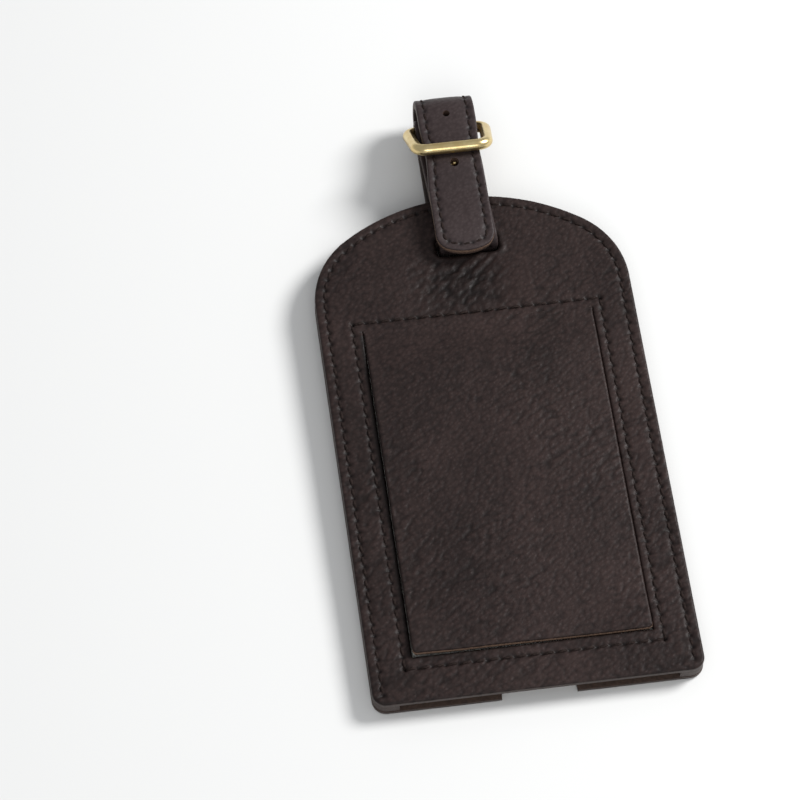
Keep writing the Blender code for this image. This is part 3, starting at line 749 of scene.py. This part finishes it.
def make_front():
    window = [(-WINDOW_HALF, WINDOW_BOTTOM), (-WINDOW_HALF, WINDOW_TOP), (WINDOW_HALF, WINDOW_TOP),
              (WINDOW_HALF, WINDOW_BOTTOM)]
    loops = [refine(body_outline(), 0.45), refine(window, 0.45), slot_loop()]
    front = slab("front_panel", loops, 0.45, front_top, lambda x, y, d: FRONT_Z + 0 * x,
                 [body_leather, body_edge, lining], rings=seam_rings([edge_seam, *window_seams]),
                 levels=((0.35, 0.04), (0.7, 0.03)), painted_shade=front_painted_shade)
    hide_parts("front_leather")
    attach(front, "body")


def make_filler():
    """The layer between front and back: a frame that leaves the pocket's mouth open."""
    ring = body_outline([(-POCKET_HALF, 0.0), (-POCKET_HALF, POCKET_TOP),
                         (POCKET_HALF, POCKET_TOP), (POCKET_HALF, 0.0)])
    loops = [inset_loop(refine(ring, 0.6), 0.12), slot_loop()]
    recess, edge_fall, edge_width = 0.02, 0.06, 0.03
    piece = slab("filler_edge", loops, 1.6,
                 lambda x, y, d: FRONT_Z - recess - edge_fall * (d < edge_width),
                 lambda x, y, d: BACK_TOP + recess + edge_fall * (d < edge_width),
                 [lining, body_edge, lining], levels=((0.3, 0.08), (0.7, 0.08)), insets=(0.15,))
    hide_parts("filler_panel")
    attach(piece, "body")


def back_bottom(x, y, distance):
    points = np.stack([x, y], 1)
    z = 0.04 - pebbles(x, y, BACK_GRAIN, BACK_GRAIN_SEED) + edge_seam.dent(points)
    return z + round_off(distance, 0.4)


def make_back():
    notch = arc(0.0, 0.0, NOTCH_RADIUS, pi, 0.0, 30)
    loops = [refine(body_outline(notch), 0.5), slot_loop()]
    back = slab("back_panel", loops, 0.6, lambda x, y, d: BACK_TOP + 0 * x, back_bottom,
                [lining, body_edge, body_leather], rings=edge_seam.rings(),
                levels=((0.4, 0.03), (0.8, 0.03)))
    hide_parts("back_leather")
    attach(back, "body")


def make_inserts():
    half = POCKET_HALF - INSERT_MARGIN

    def insert(name, outline, low, thickness, material, node, body, wave):
        def top(x, y, d):
            return low + thickness + wave * drift(x, y, 14.0, seed=low) - round_off(d, 0.1)

        def bottom(x, y, d):
            return low + wave * drift(x, y, 14.0, seed=low) + round_off(d, 0.1)

        loops = [refine(outline, 1.0)]
        piece = slab(name, loops, 2.4, top, bottom, [material], insets=(0.03, 0.12, 0.5),
                     level_slots=[0, 0])
        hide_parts(node)
        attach(piece, body)

    top = POCKET_TOP - INSERT_MARGIN
    meet = asin(BOARD_BOTTOM / NOTCH_RADIUS)
    board = ([(half, BOARD_BOTTOM + 1.0), (half, top), (-half, top), (-half, BOARD_BOTTOM + 1.0)]
             + [(-half + 1.0, BOARD_BOTTOM)] + arc(0.0, 0.0, NOTCH_RADIUS, pi - meet, meet, 26)
             + [(half - 1.0, BOARD_BOTTOM)])
    insert("pocket_board", board, BOARD_Z, BOARD_THICKNESS, board_paper, "back_board", "body",
           0.03)
    card = rounded_rectangle(CARD_HALF, CARD_BOTTOM, CARD_TOP, 1.5)
    insert("address_card_paper", card, CARD_Z, CARD_THICKNESS, card_paper, "address_card", "card",
           0.04)
    sheet = rounded_rectangle(half, FILM_BOTTOM, top, 1.0)
    insert("window_sheet", sheet, FILM_Z, FILM_THICKNESS, film, "window_film", "body",
           0.04)


# -------- flap

FLAP_HALF = WINDOW_HALF - 0.12
FLAP_BOTTOM = WINDOW_BOTTOM + 0.15
FLAP_CORNER = 0.9
HINGE_TUCK = 0.25                     # the flap's top edge runs this far into the front panel


def flap_settle(y):
    """0 on the flap, 1 at its hinge, where it comes down level with the front."""
    return smooth_step(y, 78.0, 89.5)


def flap_rise(x, y):
    """The flap stands a little proud of the front, most on its left and at its lower corners."""
    lower = smooth_step(y, 24.0, 10.5)
    corner = smooth_step(np.abs(x), 14.0, 25.0) * smooth_step(y, 22.0, 10.5)
    settle = flap_settle(y)
    dome = 0.16 * (1 - (x / FLAP_HALF) ** 2) * (1 - settle)
    lean = (0.11 - 0.39 * x / FLAP_HALF) * (1 - settle)
    return (0.22 * lower + 0.35 * corner - (FLAP_TOP_Z - FACE_Z) * settle + dome + lean
            + 0.12 * drift(x, y, 19.0, seed=9.0) * (1 - settle))


def flap_top(x, y, distance):
    return (FLAP_TOP_Z + flap_rise(x, y) + pebbles(x, y, FLAP_GRAIN, FLAP_GRAIN_SEED)
            - round_off(distance, 0.42) * (y < WINDOW_TOP - 0.4))


def make_flap():
    top_y = WINDOW_TOP + HINGE_TUCK
    side, low = FLAP_HALF - FLAP_CORNER, FLAP_BOTTOM + FLAP_CORNER
    outline = (arc(side, low, FLAP_CORNER, -pi / 2, 0.0, 5)
               + [(FLAP_HALF, top_y), (-FLAP_HALF, top_y)]
               + arc(-side, low, FLAP_CORNER, pi, 1.5 * pi, 5))
    loops = [refine(outline, 0.45)]
    skin = slab("flap_skin", loops, 0.45, flap_top,
                lambda x, y, d: FLAP_SKIN_Z + flap_rise(x, y) + 0.02,
                [body_leather, tan_edge_painted_light, lining, body_edge], levels=((0.3, 0.05), (0.65, 0.05)),
                # Painted shade in the flap's deepest grain.
                painted_shade=lambda x, y: crevice_shade(x, y, grain=0.45, seed=FLAP_GRAIN_SEED),
                # Painted light and shade on the flap's walls: the lower wall takes the lit tan copy,
                # the sides the darker body edge as painted shadow.
                wall_slot=lambda x, y: 1 if y < FLAP_BOTTOM + 1.0 else 3)
    backing = slab("flap_backing", [inset_loop(refine(outline, 0.8), 0.15)], 1.6,
                   lambda x, y, d: FLAP_SKIN_Z - 0.03 + flap_rise(x, y),
                   lambda x, y, d: (FLAP_BACK_Z + flap_rise(x, y) + 0.02
                                    + (FLAP_TOP_Z - FACE_Z) * flap_settle(y)
                                    + round_off(d, 0.2)),
                   [lining, brown_edge, lining])
    for piece, node in ((skin, "flap_leather"), (backing, "flap_lining")):
        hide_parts(node)
        world_point(WINDOW_TOP)
        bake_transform(piece)


# -------- strap

class StrapPath:
    """The strap's inner face as a line of (y, z), measured along the middle of its thickness."""

    def __init__(self, points):
        line = np.array(points, float)
        self.line = line
        self.normal = left_of(np.gradient(line, axis=0))
        centre = line + self.normal * (STRAP_THICKNESS / 2)
        self.reach = np.concatenate([[0], np.cumsum(np.linalg.norm(np.diff(centre, axis=0), axis=1))])

    def look_up(self, v, rows):
        return [np.interp(v, self.reach, rows[:, k]) for k in (0, 1)]

    def y(self, v):
        return self.look_up(v, self.line)[0]

    def place(self, u, v, h):
        """u across and v along; beyond either end the path runs on straight."""
        (y, z), (ny, nz) = self.look_up(v, self.line), self.look_up(v, self.normal)
        size = np.sqrt(ny ** 2 + nz ** 2)
        before, after = np.minimum(v, 0.0), np.maximum(v - self.reach[-1], 0.0)
        (sy, sz), (ey, ez) = self.normal[0], self.normal[-1]
        y = y + before * sz + after * ez
        z = z - before * sy - after * ey
        return np.stack([u + self.side(v), y + ny / size * h, z + nz / size * h], 1)

    def side(self, v):
        return 0.0 * v


FRONT_SEAM_Y, BACK_SEAM_Y = 122.0, 130.0   # where the strap's three pieces meet
SKEW_RUN, SLOT_RUN = (26.0, 52.0), (17.0, 27.0)   # stretches of the strap's own length
TAIL_RISE = 1.7


def sample(start, end, step=0.2):
    """Points from start up to, but not including, end."""
    count = max(2, int(np.hypot(end[0] - start[0], end[1] - start[1]) / step))
    return [(start[0] + (end[0] - start[0]) * k / count,
             start[1] + (end[1] - start[1]) * k / count) for k in range(count)]


def free_end_z(y):
    """The free end lies over the buckle end, rises over the prong and sags at its tip."""
    sag = 0.8 * (1 - smooth_step(y, TIP_Y, 113.0))
    return OVER_Z + HUMP * smooth_step(y, HUMP_START, HUMP_END) - sag


def free_points():
    """From the rounded tip over the prong and round the fold to the back run."""
    fold_z = OVER_Z + HUMP - FOLD_RADIUS
    points = [(y, float(free_end_z(y))) for y in np.arange(TIP_Y, FOLD_Y, 0.2)]
    points += arc(FOLD_Y, fold_z, FOLD_RADIUS, pi / 2, -pi / 2, 60)
    end = (BACK_SEAM_Y, BACK_RUN_Z)
    return points + sample((FOLD_Y, BACK_RUN_Z), end)[1:] + [end]


def under_points():
    """From the back run through the slot to the heel bar, round it and back to the tail."""
    radius = SLOT_BEND_RADIUS
    points = sample((BACK_SEAM_Y, BACK_RUN_Z), (SLOT_BEND_Y, BACK_RUN_Z))
    points += arc(SLOT_BEND_Y, BACK_RUN_Z + radius, radius, -pi / 2, -pi, 14)
    points += arc(SLOT_BEND_Y, UNDER_Z - radius, radius, pi, pi / 2, 14)
    points += sample((SLOT_BEND_Y, UNDER_Z), (HEEL_Y, UNDER_Z))[1:]
    wrap_radius = UNDER_Z - HEEL_Z
    points += arc(HEEL_Y, HEEL_Z, wrap_radius, pi / 2, -pi / 2, 30)
    wrap_bottom = HEEL_Z - wrap_radius
    return points + [(HEEL_Y + (TAIL_END_Y - HEEL_Y) * k,
                      wrap_bottom + TAIL_RISE * float(smooth_step(k, 0.0, 0.8)))
                     for k in np.linspace(0, 1, 30)[1:]]


class UnderPath(StrapPath):
    def side(self, v):
        """The buckle end runs slightly askew from the slot to the heel bar."""
        start, end = SKEW_RUN
        into = SKEW_SLOT * smooth_step(v, 6.0, 22.0)
        return into + (SKEW_HEEL - SKEW_SLOT) * np.clip((v - start) / (end - start), 0, 1)


free_path = StrapPath(free_points())
under_path = UnderPath(under_points())


def front_v(path, y):
    """How far along a path it reaches y on its run over the tag's front."""
    on_front = np.nonzero((path.line[:, 1] > FACE_Z) & (path.line[:, 0] > SLOT_BEND_Y))[0]
    return float(np.interp(y, path.line[on_front, 0], path.reach[on_front]))


STRAP_STEP = 0.45


def strap_grain(x, y, seed):
    return 0.025 * (cells(x, y, 0.8, seed=seed) - 1.0) + 0.05 * drift(x, y, 5.0, seed=seed + 5.0)


def strap_faces(seams, low, high, seed, crown):
    """A ply's two faces: grained, crowned and drawn in at its stitches, and plain behind."""
    def top(x, y, distance):
        points = np.stack([x, y], 1)
        z = high + strap_grain(x, y, seed) + crown * (1 - smooth_step(np.abs(x), 1.5, 4.8))
        for seam in seams:
            z = z - seam.dent(points, 0.14, 0.26)
        return z - round_off(distance, 0.38)

    def bottom(x, y, distance):
        return low + round_off(distance, 0.18) + 0.02 * drift(x, y, 3.0, seed=seed + 9.0)

    return top, bottom


def side_line(path, sign, start, end):
    """The strap's edge, as flat (u, v) points."""
    v = np.linspace(start, end, max(2, int((end - start) / STRAP_STEP)))
    return np.stack([sign * half_at(path, v), v], 1)


def half_at(path, v):
    """Half the strap's width; the free end is squeezed under the front bar."""
    if path is not free_path:
        return STRAP_HALF + 0.0 * v
    squeeze = 1 - smooth_step(np.abs(path.y(v) - BAR_Y), 0.0, SQUEEZE_REACH)
    return np.where(v < FOLD_V, STRAP_HALF - (STRAP_HALF - BUCKLED_HALF) * squeeze, STRAP_HALF)


FOLD_V = front_v(free_path, FOLD_Y)
SEAM_V = front_v(free_path, FRONT_SEAM_Y)
END_V = free_path.reach[-1]


def strap_seam_line(path, sign, start, end):
    line = side_line(path, sign, start, end)
    line[:, 0] -= sign * STRAP_SEAM_INSET
    return line


def hole_loop(v, radius):
    return np.array([(radius * cos(a), v + radius * sin(a))
                     for a in -turn(24)])


def strap_piece(name, outline, holes, path, soft, seams, nodes, low=0.0, high=STRAP_THICKNESS,
                materials=(strap_leather, brown_edge, strap_lining_painted_shade), spacing=STRAP_STEP,
                levels=((0.30, 0.04), (0.52, 0.0), (0.58, 0.0), (0.8, 0.03)), level_slots=None,
                seed=0.0, crown=0.12):
    """One ply of the strap, bent along its path; soft gives the lines that its edges round to."""
    top, bottom = strap_faces(seams, low, high, seed, crown)
    # Painted shade in the strap's stitch holes.
    piece = slab(name, [outline] + holes, spacing, top, bottom, materials, place=path.place,
                 rings=seam_rings(seams), soft=soft, levels=levels, level_slots=level_slots,
                 painted_shade=lambda x, y: crevice_shade(x, y, seams))
    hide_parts(*nodes)
    return piece


STRAP_PITCH = 2.8
PAST = 3.0                            # soft edges run on this far, so the cut ends stay square


def strap_sides(path, start, end):
    return [side_line(path, sign, start, end) for sign in (-1, 1)]


def strap_outline(path, start, end, step=STRAP_STEP):
    left, right = strap_sides(path, start, end)
    return refine(np.vstack([right, left[::-1]]), step)


def side_seams(path, start, end):
    return [Seam(strap_seam_line(path, sign, start, end), STRAP_PITCH) for sign in (-1, 1)]


def free_end_piece():
    """The free end, from its tip to where it lies on the tag."""
    arch_points = [(-x, y) for x, y in tip_arch()]
    spring = arch_points[0][1]
    loop = ([(-STRAP_HALF, v) for v in np.linspace(SEAM_V, spring, 30)][:-1] + arch_points
            + [(STRAP_HALF, v) for v in np.linspace(spring, SEAM_V, 30)][1:])
    edge = [(-STRAP_HALF, SEAM_V + PAST)] + arch_points + [(STRAP_HALF, SEAM_V + PAST)]
    inner = STRAP_HALF - STRAP_SEAM_INSET
    row = [(-inner, SEAM_V)] + [(-x, y) for x, y in tip_arch(STRAP_SEAM_INSET)] + [(inner, SEAM_V)]
    seams = [Seam(refine(row, 0.4, closed=False), STRAP_PITCH)]
    # The tip's leather edge takes the lit tan copy: painted light on the cut edge facing the lamp.
    piece = strap_piece("strap_end", refine(loop, STRAP_STEP), [], free_path,
                        [refine(edge, STRAP_STEP, closed=False)], seams,
                        ["strap_tip_leather", "strap_tip_lining"], seed=41.0,
                        materials=[strap_leather, tan_edge_painted_light, strap_lining_painted_shade, brown_edge],
                        level_slots=[1, 1, 1, 3, 3])
    return piece, seams


def fold_piece():
    """The free end over the prong, the fold and the turn to the back run."""
    holes = [hole_loop(front_v(free_path, y), radius) for y, radius in HOLES]
    seams = side_seams(free_path, SEAM_V, END_V)
    piece = strap_piece("strap_fold", strap_outline(free_path, SEAM_V, END_V), holes, free_path,
                        strap_sides(free_path, SEAM_V - PAST, END_V + PAST), seams,
                        ["strap_loop_leather", "strap_loop_lining"], seed=43.0)
    return piece, seams


def prong_opening():
    """The opening for the prong's ring in the leather wrapped round the heel bar."""
    start = front_v(under_path, PRONG_SLOT_START)
    end = front_v(under_path, HEEL_Y - GAP) + 7.0
    half = PRONG_SLOT_HALF
    return refine([(-half, start), (-half, end), (half, end), (half, start)], 0.6)


def buckle_end_pieces():
    """Back run, slot, buckle end and the turn round the heel bar: leather, then lining."""
    end = under_path.reach[-1]
    edges = strap_sides(under_path, -PAST, end + PAST)
    seams = side_seams(under_path, 0.0, front_v(under_path, BUCKLE_SEAM_END_Y))
    leather_ply = strap_piece("strap_under", strap_outline(under_path, 0.0, end), [prong_opening()],
                              under_path, edges, seams,
                              ["strap_anchor_leather", "strap_buckle_leather"],
                              low=LEATHER_START, seed=47.0, crown=0.0,
                              levels=((0.3, 0.03), (0.7, 0.03)))
    lining_end = front_v(under_path, LINING_END_Y)
    lining_ply = strap_piece("strap_under_lining", strap_outline(under_path, 0.0, lining_end, 0.8),
                             [], under_path, edges, [],
                             ["strap_anchor_lining", "strap_buckle_lining"], high=LINING_TOP,
                             seed=51.0, materials=[strap_lining_painted_shade, brown_edge, strap_lining_painted_shade],
                             spacing=2 * STRAP_STEP, levels=((0.5, 0.0),))
    return leather_ply, lining_ply, seams


def strap_threads(name, seams, path, nodes, keep=None):
    """Stitches that lie flush with the strap's finished face."""
    made = stitch_mesh(name, seams, path.place, STRAP_THICKNESS - THREAD_SUNK, thread, keep,
                       half_width=0.27, half_height=0.17, slant=0.10)
    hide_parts(*nodes)
    return made


def make_strap():
    tip, tip_seams = free_end_piece()
    over, over_seams = fold_piece()
    ply, back, under_seams = buckle_end_pieces()
    tip_thread = strap_threads("strap_end_stitches", tip_seams, free_path, ["strap_tip_thread"])
    over_thread = strap_threads("strap_fold_stitches", over_seams, free_path,
                                ["strap_loop_thread_left", "strap_loop_thread_right"])
    under_thread = strap_threads("strap_under_stitches", under_seams, under_path,
                                 ["strap_anchor_thread_left", "strap_anchor_thread_right",
                                  "strap_buckle_thread_left", "strap_buckle_thread_right"],
                                 keep=lambda u, v: not SLOT_RUN[0] < v < SLOT_RUN[1])
    for piece in (tip, tip_thread):
        world_point(FRONT_SEAM_Y)
        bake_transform(piece)
    for piece in (over, over_thread):
        world_point(FRONT_SEAM_Y)
        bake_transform(piece)
    for piece in (ply, back, under_thread):
        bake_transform(piece)


# -------- buckle

def frame_line():
    """Centre line of the wire as (across, along): along is 0 on the heel bar."""
    length = sqrt((HEEL_Y - BAR_Y) ** 2 + (BAR_Z - HEEL_Z) ** 2)
    corners = [(HEEL_HALF, 0.0), (BAR_HALF, length), (-BAR_HALF, length), (-HEEL_HALF, 0.0)]
    points = []
    for k, corner in enumerate(corners):
        here = Vector(corner)
        before = (Vector(corners[k - 1]) - here).normalized()
        after = (Vector(corners[(k + 1) % 4]) - here).normalized()
        half_angle = before.angle(after) / 2
        centre = here + (before + after).normalized() * FRAME_CORNER / sin(half_angle)
        reach = FRAME_CORNER * cos(half_angle) / sin(half_angle)
        first, final = here + before * reach - centre, here + after * reach - centre
        bend = first.angle_signed(final)
        steps = 14
        for s in range(steps + 1):
            a = -bend * s / steps
            points.append((centre.x + first.x * cos(a) - first.y * sin(a),
                           centre.y + first.x * sin(a) + first.y * cos(a)))
    return refine(points, 0.7), length


def make_buckle():
    line, length = frame_line()
    run = np.array([0.0, BAR_Y - HEEL_Y, BAR_Z - HEEL_Z]) / length
    across = np.array([1.0, 0.0, 0.0])
    upright = np.cross(across, run)
    angles = turn(28)
    rings = []
    for k, point in enumerate(line):
        along = line[(k + 1) % len(line)] - line[k - 1]
        along /= np.linalg.norm(along)
        outward = across * along[1] - run * along[0]
        radius = WIRE_RADIUS * (1 + 0.012 * noise.noise((k * 0.13, 2.0, 5.0)))
        centre = np.array([0.0, HEEL_Y, HEEL_Z]) + across * point[0] + run * point[1]
        rings.append(centre + radius * (np.outer(np.cos(angles), outward)
                                        + np.outer(np.sin(angles), upright)))
    wire = sweep("buckle_wire", rings, metal, closed=True)
    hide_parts("buckle_frame")
    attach(wire, "buckle")


def make_prong():
    ring = WIRE_RADIUS + GAP + PRONG_THICKNESS / 2
    rest_z = UNDER_Z + STRAP_THICKNESS + GAP + PRONG_THICKNESS / 2
    points = arc(HEEL_Y, HEEL_Z, ring, -0.7 * pi, 0.5 * pi, 40)
    top_z = HEEL_Z + ring
    points += [(HEEL_Y + (PRONG_SETTLE_Y - HEEL_Y) * t,
                top_z + (rest_z - top_z) * float(smooth_step(t, 0, 1)))
               for t in np.linspace(0, 1, 16)[1:]]
    points += sample((PRONG_SETTLE_Y, rest_z), (PRONG_BEND_Y, rest_z), 0.5)[1:]
    points += arc(PRONG_BEND_Y, rest_z + PRONG_BEND_RADIUS, PRONG_BEND_RADIUS, -pi / 2,
                  -0.95 * pi, 16)
    points.append(PRONG_TIP)
    step = 0.35
    line = refine(points, step, closed=False)
    normals = left_of(np.gradient(line, axis=0))
    last, tip_round = len(line) - 1, 0.5
    angles = turn(20)
    rings = []
    for k, (y, z) in enumerate(line):
        left = (last - k) * step
        taper = 1.0 - 0.35 * float(smooth_step(left, 6.0, 0.0))
        if left < tip_round:
            taper *= 0.55 + 0.45 * sqrt(left / tip_round)
        x = PRONG_WIDTH / 2 * taper * np.cos(angles)
        height = PRONG_THICKNESS / 2 * taper * np.sin(angles)
        rings.append(np.stack([x, y - normals[k][0] * height, z - normals[k][1] * height], 1))
    pin = sweep("prong_pin", rings, metal)
    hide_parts("prong")
    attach(pin, "prong")


# -------- stitches on the body

def make_body_stitches():
    level = FACE_Z - THREAD_SUNK
    edge = stitch_mesh("edge_stitches", [edge_seam], flat_place, level, thread)
    window = stitch_mesh("window_stitches", window_seams, flat_place, level, thread)
    under = stitch_mesh("back_stitches", [edge_seam], flat_place, BOBBIN_Z, thread, down=-1.0,
                        half_height=0.16)
    for piece, node in ((edge, "edge_thread"), (window, "window_thread"),
                        (under, "edge_bobbin_thread")):
        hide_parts(node)
        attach(piece, "body")


# -------- floor, light and camera

def make_stage():
    mesh = bpy.data.meshes.new("floor")
    reach = 3.0
    mesh.from_pydata([(-reach, -reach, 0), (reach, -reach, 0), (reach, reach, 0), (-reach, reach, 0)],
                     [], [(0, 1, 2, 3)])
    floor = bpy.data.objects.new("floor", mesh)
    n = Nodes("floor")
    n.set(Base_Color=(0.76, 0.76, 0.75, 1.0), Roughness=0.85)
    mesh.materials.append(n.material)
    bpy.context.scene.collection.objects.link(floor)


def area_light(name, location, size, power):
    data = bpy.data.lights.new(name, 'AREA')
    data.shape = 'DISK'
    data.size = size
    data.energy = power
    lamp = bpy.data.objects.new(name, data)
    lamp.location = location
    lamp.rotation_mode = 'QUATERNION'
    lamp.rotation_quaternion = (-Vector(location)).to_track_quat('-Z', 'Y')
    bpy.context.scene.collection.objects.link(lamp)


def make_lights():
    world = bpy.data.worlds.new("studio")
    world.use_nodes = True
    background = world.node_tree.nodes["Background"]
    background.inputs["Color"].default_value = (0.95, 0.97, 1.0, 1.0)
    background.inputs["Strength"].default_value = 0.43
    bpy.context.scene.world = world
    bpy.context.scene.view_settings.view_transform = 'Standard'
    area_light("key", (0.75, 0.22, 0.70), 0.40, 12.5)
    area_light("front", (-0.10, -0.75, 0.70), 0.6, 2.8)


CAMERA_ELEVATION, CAMERA_AZIMUTH, CAMERA_ROLL = 59.044, -8.808, 1.2   # degrees
CAMERA_AIM, CAMERA_DISTANCE, CAMERA_LENS = (-19.162, 1.54, 0.0), 792.28, 162.9


def make_camera():
    elevation, azimuth, roll = map(radians, (CAMERA_ELEVATION, CAMERA_AZIMUTH, CAMERA_ROLL))
    aim, distance = Vector(CAMERA_AIM) * MM, CAMERA_DISTANCE * MM
    back = Vector((sin(azimuth) * cos(elevation), -cos(azimuth) * cos(elevation), sin(elevation)))
    right = (-back).cross(Vector((0, 0, 1))).normalized()
    up = right.cross(-back)
    turned_right = cos(roll) * right + sin(roll) * up
    turned_up = -sin(roll) * right + cos(roll) * up
    data = bpy.data.cameras.new("camera")
    data.sensor_width = 36.0
    data.lens = CAMERA_LENS
    camera = bpy.data.objects.new("camera", data)
    frame_axes = Matrix((turned_right, turned_up, back)).transposed().to_4x4()
    camera.matrix_world = Matrix.Translation(aim + back * distance) @ frame_axes
    data.clip_start = 0.01
    bpy.context.scene.collection.objects.link(camera)
    bpy.context.scene.camera = camera


make_back()
make_filler()
make_front()
make_inserts()
make_flap()
make_strap()
make_buckle()
make_prong()
make_body_stitches()
make_stage()
make_lights()
make_camera()
